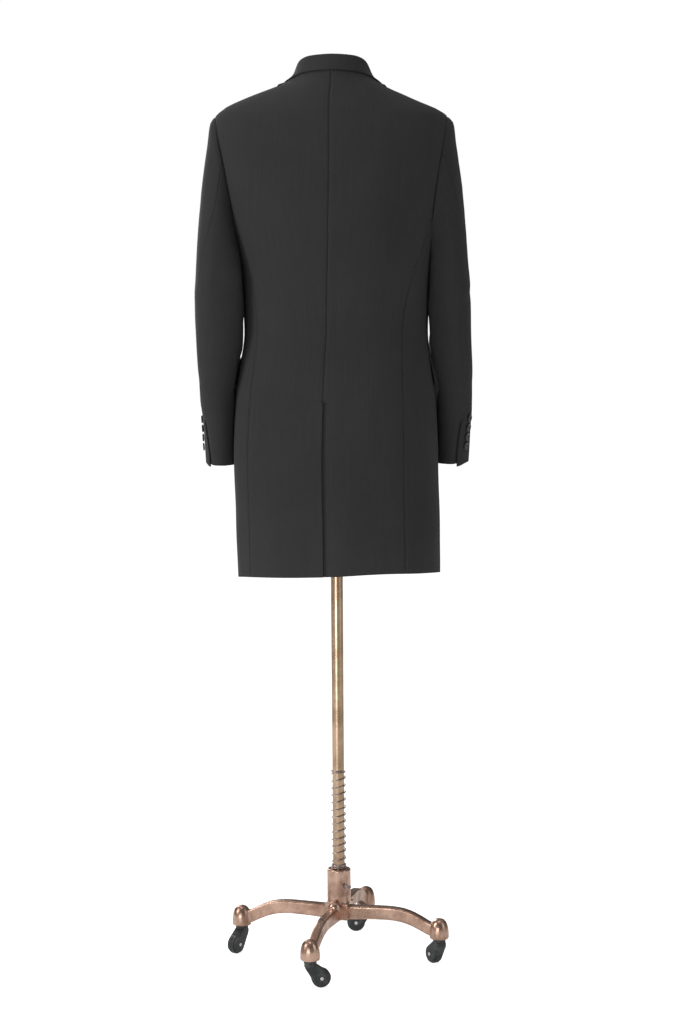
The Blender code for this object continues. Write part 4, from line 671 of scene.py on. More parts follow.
def shell_mesh(name, outer, inner, present=None):
    """A closed shell between two grids of points, with the cloth's threads as its map."""
    rows, columns = outer.shape[:2]
    if present is None:
        present = np.ones((rows - 1, columns - 1), bool)
    u, v = grid_distances(outer)
    index = np.full((2, rows, columns), -1)
    used = np.zeros((rows, columns), bool)
    for dr in (0, 1):
        for dc in (0, 1):
            used[dr : rows - 1 + dr, dc : columns - 1 + dc] |= present
    count = int(used.sum())
    index[0][used] = np.arange(count)
    index[1][used] = np.arange(count) + count
    vertices = np.concatenate([outer[used], inner[used]])
    threads = np.concatenate([np.stack([u[used], v[used]], 1)] * 2)
    faces = []
    for r in range(rows - 1):
        for c in range(columns - 1):
            if not present[r, c]:
                continue
            ring = ((r, c), (r, c + 1), (r + 1, c + 1), (r + 1, c))
            faces.append([index[0][at] for at in ring])
            faces.append([index[1][at] for at in reversed(ring)])
            beyond = ((r - 1, c), (r, c + 1), (r + 1, c), (r, c - 1))
            for k in range(4):
                br, bc = beyond[k]
                if not (0 <= br < rows - 1 and 0 <= bc < columns - 1 and present[br, bc]):
                    start, end = ring[k], ring[(k + 1) % 4]
                    faces.append([index[0][start], index[1][start], index[1][end], index[0][end]])
    mesh = bpy.data.meshes.new(name)
    mesh.from_pydata(vertices.tolist(), [], [list(map(int, face)) for face in faces])
    layer = mesh.uv_layers.new(name="threads")
    loops = np.empty(len(mesh.loops), int)
    mesh.loops.foreach_get("vertex_index", loops)
    layer.data.foreach_set("uv", threads[loops].astype(np.float32).ravel())
    work = bmesh.new()
    work.from_mesh(mesh)
    bmesh.ops.recalc_face_normals(work, faces=work.faces)
    work.to_mesh(mesh)
    work.free()
    mesh.shade_smooth()
    return mesh


def lofted_mesh(name, rings, along, around):
    """A closed mesh over rings of points, capped at both ends, with threads along and around it."""
    count = rings.shape[1]
    faces = []
    for r in range(len(rings) - 1):
        for k in range(count):
            after = (k + 1) % count
            faces.append([r * count + k, r * count + after, (r + 1) * count + after, (r + 1) * count + k])
    faces.append(list(range(count))[::-1])
    faces.append([(len(rings) - 1) * count + k for k in range(count)])
    mesh = bpy.data.meshes.new(name)
    mesh.from_pydata(rings.reshape(-1, 3).tolist(), [], faces)
    layer = mesh.uv_layers.new(name="threads")
    for loop in mesh.loops:
        ring, at = divmod(loop.vertex_index, count)
        layer.data[loop.index].uv = (along[ring], around[at])
    work = bmesh.new()
    work.from_mesh(mesh)
    bmesh.ops.recalc_face_normals(work, faces=work.faces)
    work.to_mesh(mesh)
    work.free()
    mesh.shade_smooth()
    return mesh


def round_edges(piece, width, segments=2):
    """Rounds the cut edges of a shell."""
    modifier = piece.modifiers.new("rounded_edges", "BEVEL")
    modifier.width = width
    modifier.segments = segments
    modifier.limit_method = "ANGLE"
    modifier.angle_limit = math.radians(55.0)
    modifier.harden_normals = False
    modifier.use_clamp_overlap = True
    return piece


def torso_cloth(name, grid, lift, body, replaced, present=None, thickness=CLOTH):
    """A cloth shell over torso points, with a distance out at each of them."""
    outer, normals = placed(grid, lift)
    inner = outer - normals * thickness
    piece = add_piece(name, shell_mesh(name, outer, inner, present), ["wool"], body, replaced)
    return round_edges(piece, 0.0007)


# Backs, side bodies and fronts

LOW_LENGTH = 0.668
HIGH_LENGTH = 0.290
BACK_WIDTH = 0.185
VENT_DIP_REACH = 0.024
VENT_LAP = (0.040, 0.030, 0.020, 0.010, 0.004)
BODY = "dressed_form"


def low_rows(x_of, behind, shares):
    """One column of a back or front from the hem to the foot of the armhole."""
    z = np.full(len(shares), HEM_Z)
    for _ in range(5):
        x = x_of(z)
        y = y_on_torso(x, z, behind)
        z = blend(hem_height(x, y), SEAM_TOP_Z, shares)
    x = x_of(z)
    return np.stack([x, y_on_torso(x, z, behind), z], axis=1)


def straight_path(x_low, x_top, z_top, behind, bow=None):
    """A dense path from the foot of the armhole to the top of a column."""
    part = np.sin(0.5 * math.pi * np.linspace(0.0, 1.0, 160))
    z = blend(SEAM_TOP_Z, z_top, part)
    x = blend(x_low, x_top, part)
    if bow is not None:
        x = x + bow(part)
    x = np.sign(x) * np.minimum(np.abs(x), half_width(z))
    return np.stack([x, y_on_torso(x, z, behind), z], axis=1)


def high_rows(share, x_low, x_top, z_top, behind, side, seam_deg, shares, bow=None):
    """The rows of one column above the foot of the armhole; the outer columns follow the armhole."""
    rows = resampled(straight_path(x_low, x_top, z_top, behind, bow), shares)
    follow = share**7
    if follow > 0.001:
        armhole = resampled(armhole_points(np.linspace(seam_deg, 0.0, 120), side), shares)
        armhole[:, 0] -= side * SEAM_HALF_GAP
        edge = resampled(straight_path(armhole[0, 0], side * SHOULDER_END_X, SHOULDER_END_Z, behind), shares)
        rows[:, [0, 2]] += follow * (armhole - edge)[:, [0, 2]]
        rows[:, 0] = np.sign(rows[:, 0]) * np.minimum(np.abs(rows[:, 0]), half_width(rows[:, 2]))
        rows[:, 1] = y_on_torso(rows[:, 0], rows[:, 2], behind)
    return rows


def back_points(side):
    """Torso points of a back, from the middle out to the side seam and the armhole."""
    low = edged_shares(LOW_LENGTH, True, False)
    low = np.unique(np.append(low, [VENT_TOP_SHARE - 0.004, VENT_TOP_SHARE]))
    high = edged_shares(HIGH_LENGTH, False, True)[1:]
    columns = []
    across = edged_shares(BACK_WIDTH)
    for share in across:
        trim = SEAM_HALF_GAP if share == 1.0 else 0.0

        def x_of(z, share=share, trim=trim):
            return side * (np.maximum(SEAM_HALF_GAP, share * side_back_x(z)) - trim)

        below = low_rows(x_of, True, low)
        x_top = side * max(SEAM_HALF_GAP, float(back_top_x(share)))
        over_neck = abs(x_top) < NECK_SIDE_X
        z_top = float(neck_height(x_top) if over_neck else shoulder_height(abs(x_top)))
        above = high_rows(share, below[-1][0], x_top, z_top, True, side, ARMHOLE_SEAM_DEG, high)
        if not over_neck:
            above[-1][1] = SEAM_HALF_GAP
        columns.append(np.concatenate([below, above]))
    return np.stack(columns, axis=1), across, low


def row_ends(grid):
    """Each point's distance from the first and the last point of its row."""
    steps = np.linalg.norm(np.diff(grid, axis=1), axis=2)
    start = np.concatenate([np.zeros((len(grid), 1)), np.cumsum(steps, axis=1)], axis=1)
    return start, start[:, -1:] - start


def vent_slant(x, z):
    """The dimple of the slanted stitching at the top of the vent, on the left back."""
    along = np.clip(x / 0.062, 0.0, 1.0)
    line = 1.0705 - 0.018 * along
    return -0.0007 * bump(z - line, 0.0016) * ramp(1.05 - x / 0.062) * ramp(x / 0.003 + 0.2)


def make_back(side_name):
    side = SIDES[side_name]
    grid, across, low = back_points(side)
    from_middle, from_edge = row_ends(grid)
    z = grid[..., 2]
    vent_z = grid[np.searchsorted(low, VENT_TOP_SHARE), 0, 2]
    closed = ramp((z - vent_z) / 0.004)
    lift = seam_relief(from_edge) + seam_relief(from_middle) * closed
    pucker = np.sin(z / 0.0036) * 0.5 + soft_waves(z / 0.016, z * 0.0, 11)
    lift += 0.00013 * pucker * bump(from_middle, 0.006) * closed
    top = np.linalg.norm(grid - grid[-1:], axis=2)
    lift += seam_relief(top) * (np.abs(grid[-1:, :, 0]) >= NECK_SIDE_X - 1e-6)
    replaced = [f"back_{side_name}"]
    if side_name == "left":
        lift += vent_slant(np.abs(grid[..., 0]), z)
        lift += 0.0007 * bump(from_middle, 0.012) * (1.0 - closed)
        return torso_cloth("back_left_cloth", grid, lift, BODY, replaced)
    lap_z = grid[:, :1, 2]
    lap_x = np.array(VENT_LAP)[None, :] * np.ones((len(grid), 1))
    lap = np.stack([lap_x, y_on_torso(lap_x, lap_z, True), lap_z * np.ones_like(lap_x)], axis=2)
    wide = np.concatenate([lap, grid], axis=1)
    inward = np.where(wide[..., 0] < 0.0, -wide[..., 0], 0.0)
    drop = -LAP_DROP * ramp(1.0 - inward / VENT_DIP_REACH)
    wide_lift = np.concatenate([np.zeros_like(lap_x), lift], axis=1)
    open_rows = np.concatenate([closed[:, :1]] * wide.shape[1], axis=1)
    wide_lift += drop * (1.0 - open_rows)
    vent_row = int(np.searchsorted(low, VENT_TOP_SHARE))
    present = np.ones((len(wide) - 1, wide.shape[1] - 1), bool)
    present[vent_row:, : len(VENT_LAP)] = False
    return torso_cloth("back_right_cloth", wide, wide_lift, BODY, replaced, present)


def section_angle(points):
    n = squareness(points[..., 2])
    across = (np.abs(points[..., 0]) / half_width(points[..., 2])) ** (n / 2.0)
    along = (np.abs(points[..., 1]) / depth(points[..., 2], points[..., 1] > 0.0)) ** (n / 2.0)
    return np.copysign(np.arctan2(along, across), points[..., 1])


def at_section_angle(angle, z, side):
    n = squareness(z)
    x = half_width(z) * np.abs(np.cos(angle)) ** (2.0 / n)
    y = depth(z, angle > 0.0) * np.abs(np.sin(angle)) ** (2.0 / n)
    return np.stack([side * x, np.copysign(y, angle), z + 0.0 * x], axis=-1)


def side_body_ends(z):
    x_back = side_back_x(z) + SEAM_HALF_GAP
    x_front = side_front_x(z) + SEAM_HALF_GAP
    back = section_angle(np.stack([x_back, y_on_torso(x_back, z, True), z], axis=-1))
    front = section_angle(np.stack([x_front, y_on_torso(x_front, z, False), z], axis=-1))
    return back, front


SIDE_WIDTH = 0.175


def make_side_body(side_name):
    side = SIDES[side_name]
    across = edged_shares(SIDE_WIDTH)
    low = edged_shares(0.535, True, False)
    high = edged_shares(0.10, False, True, 0.006)[1:]
    split = 0.80
    z = np.full((len(low), len(across)), HEM_Z)
    for _ in range(5):
        back, front = side_body_ends(z)
        points = at_section_angle(blend(back, front, across[None, :]), z, side)
        z = blend(hem_height(points[..., 0], points[..., 1]), SEAM_TOP_Z, split * low[:, None])
    below = at_section_angle(blend(*side_body_ends(z), across[None, :]), z, side)
    turns = blend(ARMHOLE_SEAM_DEG, 360.0 - ARMHOLE_SEAM_DEG, across)
    loop = armhole_points(turns, side)
    loop_angle = section_angle(loop)
    z_high = blend(below[-1:, :, 2], loop[None, :, 2] - SEAM_HALF_GAP, high[:, None])
    back, front = side_body_ends(z_high)
    top_angle = np.concatenate([back[:, :1], np.repeat(loop_angle[None, 1:-1], len(high), 0), front[:, -1:]], axis=1)
    above = at_section_angle(blend(blend(back, front, across[None, :]), top_angle, high[:, None]), z_high, side)
    grid = np.concatenate([below, above])
    from_back, from_front = row_ends(grid)
    lift = seam_relief(from_back) + seam_relief(from_front)
    lift += seam_relief(np.linalg.norm(grid - grid[-1:], axis=2))
    return torso_cloth(f"side_{side_name}_cloth", grid, lift, BODY, [f"side_{side_name}"])


def roll_x(z):
    """The roll line of a lapel: it crosses the middle below and reaches the neck above."""
    share = np.clip((z - BREAK_Z) / (NECK_SIDE_Z - BREAK_Z), 0.0, 1.0)
    return blend(-FRONT_LAP_X, NECK_SIDE_X, share**1.12)


def right_front_dip(x, z):
    """How far the right front lies in, where the left front covers it."""
    reach = ramp(1.0 + (x - roll_x(z) + 0.012) / 0.036)
    return -LAP_DROP * reach * ramp(1.0 - (z - 1.415) / 0.040)


def make_front(side_name):
    side = SIDES[side_name]
    low = edged_shares(LOW_LENGTH, True, False)
    high = edged_shares(HIGH_LENGTH, False, True)[1:]
    columns = []
    for share in edged_shares(0.170):
        trim = SEAM_HALF_GAP if share == 1.0 else 0.0

        def x_of(z, share=share, trim=trim):
            return side * (blend(roll_x(z), side_front_x(z), share) - trim)

        def bow(part, share=share):
            on_roll = roll_x(blend(SEAM_TOP_Z, NECK_SIDE_Z, part))
            return side * (on_roll - blend(roll_x(SEAM_TOP_Z), NECK_SIDE_X, part)) * (1.0 - share)

        below = low_rows(x_of, False, low)
        x_top = float(front_top_x(share))
        z_top = float(shoulder_height(x_top))
        above = high_rows(share, below[-1][0], side * x_top, z_top, False, side, -ARMHOLE_SEAM_DEG, high, bow)
        above[-1][1] = -SEAM_HALF_GAP
        columns.append(np.concatenate([below, above]))
    grid = np.stack(columns, axis=1)
    from_front, from_side = row_ends(grid)
    lift = seam_relief(from_side) + seam_relief(np.linalg.norm(grid - grid[-1:], axis=2))
    if side_name == "right":
        lift += right_front_dip(grid[..., 0], grid[..., 2])
    return torso_cloth(f"front_{side_name}_cloth", grid, lift, BODY, [f"front_{side_name}"])


# Lapels, collar and flaps

LAPEL_EDGE = ((-0.0100, 1.3350), (0.0180, 1.3900), (0.0650, 1.4700), (0.1120, 1.5380), (0.1470, 1.5760))
GORGE_TOP_Z = 1.628
LAPEL_START = {"left": 0.0, "right": 0.26}
LAPEL_FOLD = 0.0034


def make_lapel(side_name):
    """A lapel that rolls out over the front's edge and lies on the chest."""
    side = SIDES[side_name]
    edge = np.array([(x, 0.0, z) for x, z in LAPEL_EDGE])
    shares = blend(LAPEL_START[side_name], 1.0, edged_shares(0.285, True, True, 0.006))
    edge_points = resampled(edge, shares)
    across = edged_shares(0.080, False, True, 0.005)
    z_roll = blend(LAPEL_EDGE[0][1], GORGE_TOP_Z, shares)[:, None]
    x_roll = roll_x(z_roll)
    x = blend(x_roll, edge_points[:, 0:1], across[None, :])
    z = blend(z_roll, edge_points[:, 2:3], across[None, :])
    grid = np.stack([side * x, y_on_torso(x, z, False), z], axis=2)
    lift = np.full(x.shape, LAY_ROOM + CLOTH)
    if side_name == "right":
        lift += right_front_dip(side * x, z)
    from_roll, from_edge = row_ends(grid)
    lift += 0.0022 * bump(from_roll, 0.016) + 0.0006 * bump(from_edge, 0.006)
    lift += 0.0007 * soft_waves(across[None, :] * 0.8, shares[:, None] * 2.1, 21)
    outer, normals = placed(grid, lift)
    inner = outer - normals * CLOTH
    tangent = outer[:, :1] - outer[:, 1:2]
    tangent /= np.linalg.norm(tangent, axis=2, keepdims=True)
    turned_in = outer[:, :1] + tangent * LAPEL_FOLD - normals[:, :1] * 0.0040
    turned_in_under = inner[:, :1] + tangent * (LAPEL_FOLD - CLOTH) - normals[:, :1] * 0.0034
    round_out = outer[:, :1] + tangent * 0.0024 - normals[:, :1] * 0.0010
    round_in = inner[:, :1] + tangent * 0.0006 - normals[:, :1] * 0.0006
    outer = np.concatenate([turned_in, round_out, outer], axis=1)
    inner = np.concatenate([turned_in_under, round_in, inner], axis=1)
    name = f"lapel_{side_name}_cloth"
    piece = add_piece(name, shell_mesh(name, outer, inner), ["wool"], BODY, [f"lapel_{side_name}"])
    return round_edges(piece, 0.0008)


# Collar stations from the middle of the back to the front end: share of the way round,
# fold x, y, z; leaf edge x, z, side (1 behind, -1 before); stand foot x, z; how far the sides are drawn in.
# The leaf's point is the last but one; from there its short end runs in to the lapel.
COLLAR = (
    (0.00, 0.0000, 0.0690, 1.7070, 0.0000, 1.6765, 1, 0.0000, 1.6836, 0.0),
    (0.18, 0.0395, 0.0600, 1.7050, 0.0475, 1.6735, 1, 0.0445, 1.6784, 0.1),
    (0.36, 0.0595, 0.0330, 1.6990, 0.0795, 1.6640, 1, 0.0715, 1.6700, 0.8),
    (0.54, 0.0665, -0.0020, 1.6890, 0.0935, 1.6596, 1, 0.0775, 1.6710, 1.0),
    (0.72, 0.0685, -0.0400, 1.6750, 0.1075, 1.6410, -1, 0.0775, 1.6570, 0.6),
    (0.92, 0.0700, -0.0680, 1.6510, 0.1270, 1.6150, -1, 0.0730, 1.6380, 0.2),
    (1.00, 0.0722, -0.0760, 1.6365, 0.1080, 1.6083, -1, 0.0705, 1.6340, 0.1),
)
COLLAR_STATIONS = 34
COLLAR_POINT_SHARE = 0.92
COLLAR_END_SHARES = (0.895, 0.910, 0.916, 0.924, 0.930, 0.945, 0.960, 0.975, 0.988, 0.996, 1.0)
LEAF_ROOM = 0.0005
LEAF_THICKNESS = 0.0021


def collar_profile(row, side):
    """The collar's closed outline at one station, from the leaf's edge over the fold to the stand and back."""
    _, fold_x, fold_y, fold_z, edge_x, edge_z, behind, foot_x, foot_z, hollow = row
    behind = behind > 0.0
    edge_x = min(edge_x, float(half_width(edge_z)))
    foot_x = min(foot_x, float(half_width(foot_z)))
    edge_at = np.array([side * edge_x, float(y_on_torso(edge_x, edge_z, behind)), edge_z])
    foot_at = np.array([side * foot_x, float(y_on_torso(foot_x, foot_z, behind)), foot_z])
    leaf_out, leaf_normal = placed(edge_at, LEAF_ROOM + LEAF_THICKNESS)
    leaf_in, _ = placed(edge_at, LEAF_ROOM)
    foot_out, foot_normal = placed(foot_at, 0.0006)
    foot_in = foot_out - foot_normal * 0.0036
    angle = math.radians(float(torso_turn(fold_z)))
    cos, sin = math.cos(angle), math.sin(angle)
    fold = np.array(
        [side * fold_x * cos - fold_y * sin + float(torso_shift(fold_z)), side * fold_x * sin + fold_y * cos, fold_z]
    )
    away = leaf_out - foot_in
    away[2] = 0.0
    away /= np.linalg.norm(away)
    down = np.array([0.0, 0.0, -1.0])
    drawn_in = -away * 0.0052 * hollow + down * 0.0026 * hollow
    leaf_mid = blend(leaf_out, fold, 0.5) + away * 0.0018 * (1.0 - hollow) + drawn_in
    leaf_low = blend(leaf_out, leaf_mid, 0.5) - away * 0.0016 * hollow + down * 0.0010 * hollow
    leaf_high = blend(leaf_mid, fold, 0.55) + away * 0.0012
    shift_in = away * 0.0019
    under_fold = fold + down * 0.0042 + away * 0.0002
    return [
        leaf_out,
        blend(leaf_out, leaf_low, 0.25),
        leaf_low,
        leaf_mid,
        leaf_high,
        fold + away * 0.0029 + down * 0.0014,
        fold + away * 0.0012,
        fold - away * 0.0014 + down * 0.0002,
        fold - away * 0.0030 + down * 0.0020,
        blend(fold, foot_in, 0.5) - away * 0.0012 + drawn_in * 0.9,
        blend(foot_in, fold, 0.10),
        foot_in,
        foot_out,
        blend(foot_out, under_fold, 0.5) + away * 0.0002 + drawn_in * 0.9,
        under_fold,
        leaf_mid - shift_in + down * 0.0004,
        leaf_low - shift_in * 0.8 + down * 0.0010,
        blend(leaf_in, leaf_low - shift_in, 0.2),
        leaf_in,
    ]


def make_collar():
    share, fold_x, fold_y, fold_z, edge_x, edge_z, behind, foot_x, foot_z, hollow = COLLAR[1]
    mirrored = (-share, -fold_x, fold_y, fold_z, -edge_x, edge_z, behind, -foot_x, foot_z, hollow)
    rows = (mirrored, *COLLAR)
    round_to_point = [column(rows[:-1], 0, k) for k in range(len(mirrored))]
    half = []
    for t in (*np.linspace(0.0, 0.88, COLLAR_STATIONS), *COLLAR_END_SHARES):
        if t <= COLLAR_POINT_SHARE:
            row = [float(value(t)) for value in round_to_point]
        else:
            part = (t - COLLAR_POINT_SHARE) / (1.0 - COLLAR_POINT_SHARE)
            row = [blend(a, b, part) for a, b in zip(COLLAR[-2], COLLAR[-1])]
        row[6] = 1.0 if t < 0.65 else -1.0
        half.append(row)
    profiles = [collar_profile(row, -1.0) for row in reversed(half[1:])]
    profiles += [collar_profile(row, 1.0) for row in half]
    rings = np.array(profiles)
    count = rings.shape[1]
    lengths = np.concatenate([[0.0], np.cumsum(np.linalg.norm(np.diff(rings[:, 3], axis=0), axis=1))])
    round_way = np.concatenate([[0.0], np.cumsum(np.linalg.norm(np.diff(rings[0], axis=0), axis=1))])
    mesh = lofted_mesh("collar_cloth", rings, lengths, round_way)
    piece = add_piece("collar_cloth", mesh, ["wool"], BODY, ["collar"])
    smooth = piece.modifiers.new("smoothed", "SUBSURF")
    smooth.levels = 2
    smooth.render_levels = 2
    return piece


FLAP_REAR_Y = 0.008
FLAP_FRONT_Y = -0.100
FLAP_TOP_Z = 1.156
FLAP_BOTTOM_Z = 1.099
FLAP_LIFT = 0.0040


def make_flap(side_name):
    """A pocket flap on the hip, with rounded lower corners; its rear one stands off the cloth."""
    side = SIDES[side_name]
    across = edged_shares(0.118, True, True, 0.005)
    down = edged_shares(0.057, True, True, 0.005)
    y = blend(FLAP_REAR_Y, FLAP_FRONT_Y, across[None, :]) + 0.0 * down[:, None]
    z = blend(FLAP_TOP_Z, FLAP_BOTTOM_Z, down[:, None]) + 0.0 * across[None, :]
    corner = 0.010
    end = np.minimum(across, 1.0 - across) * 0.118
    cut = corner - np.sqrt(np.maximum(corner**2 - np.maximum(corner - end, 0.0) ** 2, 0.0))
    z = z + cut[None, :] * down[:, None] ** 2
    grid = np.stack([side * x_on_torso(y, z), y, z], axis=2)
    rear = ramp(1.0 - across[None, :] * 2.4)
    lift = LAY_ROOM + CLOTH + FLAP_LIFT * down[:, None] * (0.35 + 0.65 * rear)
    lift = lift - 0.0016 * bump(down[:, None], 0.05)
    return torso_cloth(f"flap_{side_name}_cloth", grid, lift, BODY, [f"flap_{side_name}"])


# Sleeves

# From the upper arm down: height, outer x, inner x, back y, front y
SLEEVE_ROWS = {
    "left": (
        (1.300, 0.2618, 0.1785, 0.070, -0.086),
        (1.240, 0.2635, 0.1780, 0.064, -0.080),
        (1.180, 0.2615, 0.1725, 0.055, -0.080),
        (1.110, 0.2582, 0.1745, 0.040, -0.088),
        (1.075, 0.2556, 0.1811, 0.030, -0.094),
        (1.040, 0.2526, 0.1820, 0.020, -0.100),
        (0.990, 0.2506, 0.1825, 0.006, -0.111),
        (0.955, 0.2497, 0.1830, -0.004, -0.118),
    ),
    "right": (
        (1.300, 0.2517, 0.1835, 0.070, -0.086),
        (1.240, 0.2563, 0.1810, 0.064, -0.080),
        (1.180, 0.2578, 0.1750, 0.055, -0.080),
        (1.110, 0.2602, 0.1780, 0.040, -0.088),
        (1.075, 0.2597, 0.1811, 0.030, -0.094),
        (1.040, 0.2584, 0.1820, 0.020, -0.100),
        (0.990, 0.2562, 0.1825, 0.006, -0.111),
        (0.955, 0.2540, 0.1830, -0.004, -0.118),
    ),
}
SLEEVE_HEAD = {
    "left": ((0.2275, 1.5965), (0.2315, 1.5840), (0.2345, 1.5600), (0.2450, 1.4830), (0.2538, 1.4090), (0.2600, 1.3400)),
    "right": ((0.2205, 1.5950), (0.2245, 1.5830), (0.2268, 1.5600), (0.2376, 1.4830), (0.2438, 1.4090), (0.2486, 1.3400)),
}
SLEEVE_SHIFT = 0.0006
SLEEVE_HEAD_RINGS = 7
SLEEVE_CLEARANCE = 0.0018
FLAP_CLEARANCE = 0.0122
CUFF_TILT = 0.10
SLEEVE_POWER = 0.86
# The upper arm's back is flatter, with a firmer turn towards the body: how much less, where, width, from which height
FLAT_BACK_POWER = 0.30
FLAT_BACK_DEG = 130.0
FLAT_BACK_WIDTH = 36.0
FLAT_BACK_FROM_Z = 1.200
FLAT_BACK_FULL_Z = 1.300
# The sleeves swell in behind the body between the underarm and the waist
SLEEVE_SWELL = 0.0145
SLEEVE_SWELL_DEG = 140.0
SLEEVE_SWELL_WIDTH = 34.0
SLEEVE_SWELL_Z = 1.245
SLEEVE_SWELL_REACH = 0.100
# The hind-arm seam: share of the way down, bearing on the sleeve (0 faces out, 90 faces back)
HIND_SEAM = {
    "left": (
        (0.00, 73.0),
        (0.23, 70.0),
        (0.42, 54.0),
        (0.58, 34.0),
        (0.77, 25.0),
        (0.857, 35.0),
        (0.929, 45.0),
        (1.00, 52.0),
    ),
    "right": (
        (0.00, 66.0),
        (0.23, 52.0),
        (0.42, 30.0),
        (0.63, 10.0),
        (0.715, 8.0),
        (0.786, 32.0),
        (0.857, 66.0),
        (0.929, 76.0),
        (1.00, 78.0),
    ),
}
FORE_SEAM_DEG = -108.0
BEARINGS = 180

# Creases of each sleeve: share down, bearing, width down, width round in degrees, slant, depth
SLEEVE_CREASES = {
    "left": (
        (0.56, 176.0, 0.018, 46.0, 0.045, -0.0030),
        (0.60, 170.0, 0.016, 50.0, -0.030, -0.0026),
        (0.52, -150.0, 0.016, 40.0, 0.040, -0.0024),
        (0.64, -140.0, 0.018, 38.0, 0.050, -0.0020),
        (0.45, 20.0, 0.030, 40.0, 0.060, 0.0010),
        (0.70, 40.0, 0.024, 44.0, -0.050, -0.0012),
        (0.33, 60.0, 0.080, 18.0, 0.000, -0.0016),
        (0.80, 5.0, 0.030, 50.0, 0.040, 0.0010),
    ),
    "right": (
        (0.55, 176.0, 0.018, 46.0, 0.040, -0.0030),
        (0.60, 168.0, 0.016, 50.0, -0.035, -0.0026),
        (0.51, -150.0, 0.016, 40.0, 0.045, -0.0024),
        (0.65, -138.0, 0.018, 38.0, 0.045, -0.0020),
        (0.42, 24.0, 0.030, 40.0, 0.060, 0.0014),
        (0.47, 40.0, 0.020, 36.0, 0.055, -0.0016),
        (0.72, 30.0, 0.026, 44.0, -0.050, -0.0012),
        (0.84, 10.0, 0.030, 50.0, 0.040, 0.0010),
    ),
}


def signed_power(values, power=SLEEVE_POWER):
    return np.copysign(np.abs(values) ** power, values)


def section_power(around, z):
    """How square a sleeve's section is at each bearing: flatter behind the upper arm."""
    high = float(ramp((z - FLAT_BACK_FROM_Z) / (FLAT_BACK_FULL_Z - FLAT_BACK_FROM_Z)))
    return SLEEVE_POWER - FLAT_BACK_POWER * high * bump(around - FLAT_BACK_DEG, FLAT_BACK_WIDTH)


def torso_reach(y, z, side):
    """How far out the coat's torso reaches at each y, at one height on one side."""
    angles = np.linspace(-1.45, 1.45, 120)
    outline, _ = placed(at_section_angle(angles, np.full(len(angles), z), side))
    order = np.argsort(outline[:, 1])
    return np.interp(y, outline[order, 1], side * outline[order, 0], left=0.0, right=0.0)


def sleeve_clearance(y, z):
    """Room between a sleeve and the coat, with more of it beside the pocket flaps."""
    low = ramp((z - FLAP_BOTTOM_Z + 0.030) / 0.024)
    high = ramp((FLAP_TOP_Z + 0.055 - z) / 0.024)
    before = ramp((FLAP_REAR_Y + 0.032 - y) / 0.020)
    return blend(SLEEVE_CLEARANCE, FLAP_CLEARANCE, low * high * before)


def sleeve_frame_rings(side_name):
    """The sleeve's guiding rings from the armhole to the cuff, as if on the wearer's left."""
    side = SIDES[side_name]
    bearing = np.arange(BEARINGS) * 2.0 * math.pi / BEARINGS
    around = np.degrees(bearing)
    loop, _ = placed(armhole_points(np.where(around <= 180.0, around, around - 360.0), side))
    first = np.stack([side * loop[:, 0] + SLEEVE_SHIFT, loop[:, 1], loop[:, 2]], axis=1)
    top, bottom = first[0], first[BEARINGS // 2]
    rows = SLEEVE_ROWS[side_name]
    z_arm, outer_arm, inner_arm, back_arm, front_arm = rows[0]
    head = [tuple(top)] + [(x, 0.0, z) for x, z in SLEEVE_HEAD[side_name]] + [(outer_arm, 0.0, z_arm)]
    under = [tuple(bottom), (bottom[0] + 0.0022, 0.0, UNDERARM_Z - 0.012), (inner_arm, 0.0, z_arm)]
    shares = (np.arange(SLEEVE_HEAD_RINGS + 1) / SLEEVE_HEAD_RINGS) ** 1.35
    outer_line, inner_line = resampled(head, shares), resampled(under, shares)
    back_start, front_start = first[BEARINGS // 4], first[3 * BEARINGS // 4]
    middle_arm = 0.5 * (outer_arm + inner_arm)
    power = section_power(around, z_arm)
    across, along = signed_power(np.cos(bearing), power)[:, None], signed_power(np.sin(bearing), power)[:, None]
    rings, start_shape = [], None
    for share, outer_point, inner_point in zip(shares, outer_line, inner_line):
        centre = 0.5 * (outer_point + inner_point)
        back = blend(back_start, np.array([middle_arm, back_arm, z_arm]), share)
        front = blend(front_start, np.array([middle_arm, front_arm, z_arm]), share)
        shape = centre + (outer_point - centre) * across
        shape = shape + np.where(along > 0.0, (back - centre) * along, (front - centre) * -along)
        if start_shape is None:
            start_shape = shape
        rings.append(shape + (first - start_shape) * (1.0 - share) ** 2)
    for z, outer_x, inner_x, back_y, front_y in rows[1:]:
        tilt = CUFF_TILT * float(ramp((1.20 - z) / 0.20))
        middle_x, middle_y = 0.5 * (outer_x + inner_x), 0.5 * (back_y + front_y)
        power = section_power(around, z)
        x = middle_x + 0.5 * (outer_x - inner_x) * signed_power(np.cos(bearing), power)
        y = middle_y + 0.5 * (back_y - front_y) * signed_power(np.sin(bearing), power)
        rings.append(np.stack([x, y, z - tilt * (y - middle_y)], axis=1))
    rings = np.array(rings)
    inner_back = bump((around - SLEEVE_SWELL_DEG), SLEEVE_SWELL_WIDTH)
    for ring in rings[1:]:
        ring[:, 0] -= SLEEVE_SWELL * inner_back * bump(ring[:, 2] - SLEEVE_SWELL_Z, SLEEVE_SWELL_REACH)
        for point in ring:
            if point[2] < UNDERARM_Z + 0.004:
                reach = torso_reach(point[1], point[2], side) + float(sleeve_clearance(point[1], point[2]))
                point[0] = max(point[0], reach)
    return rings


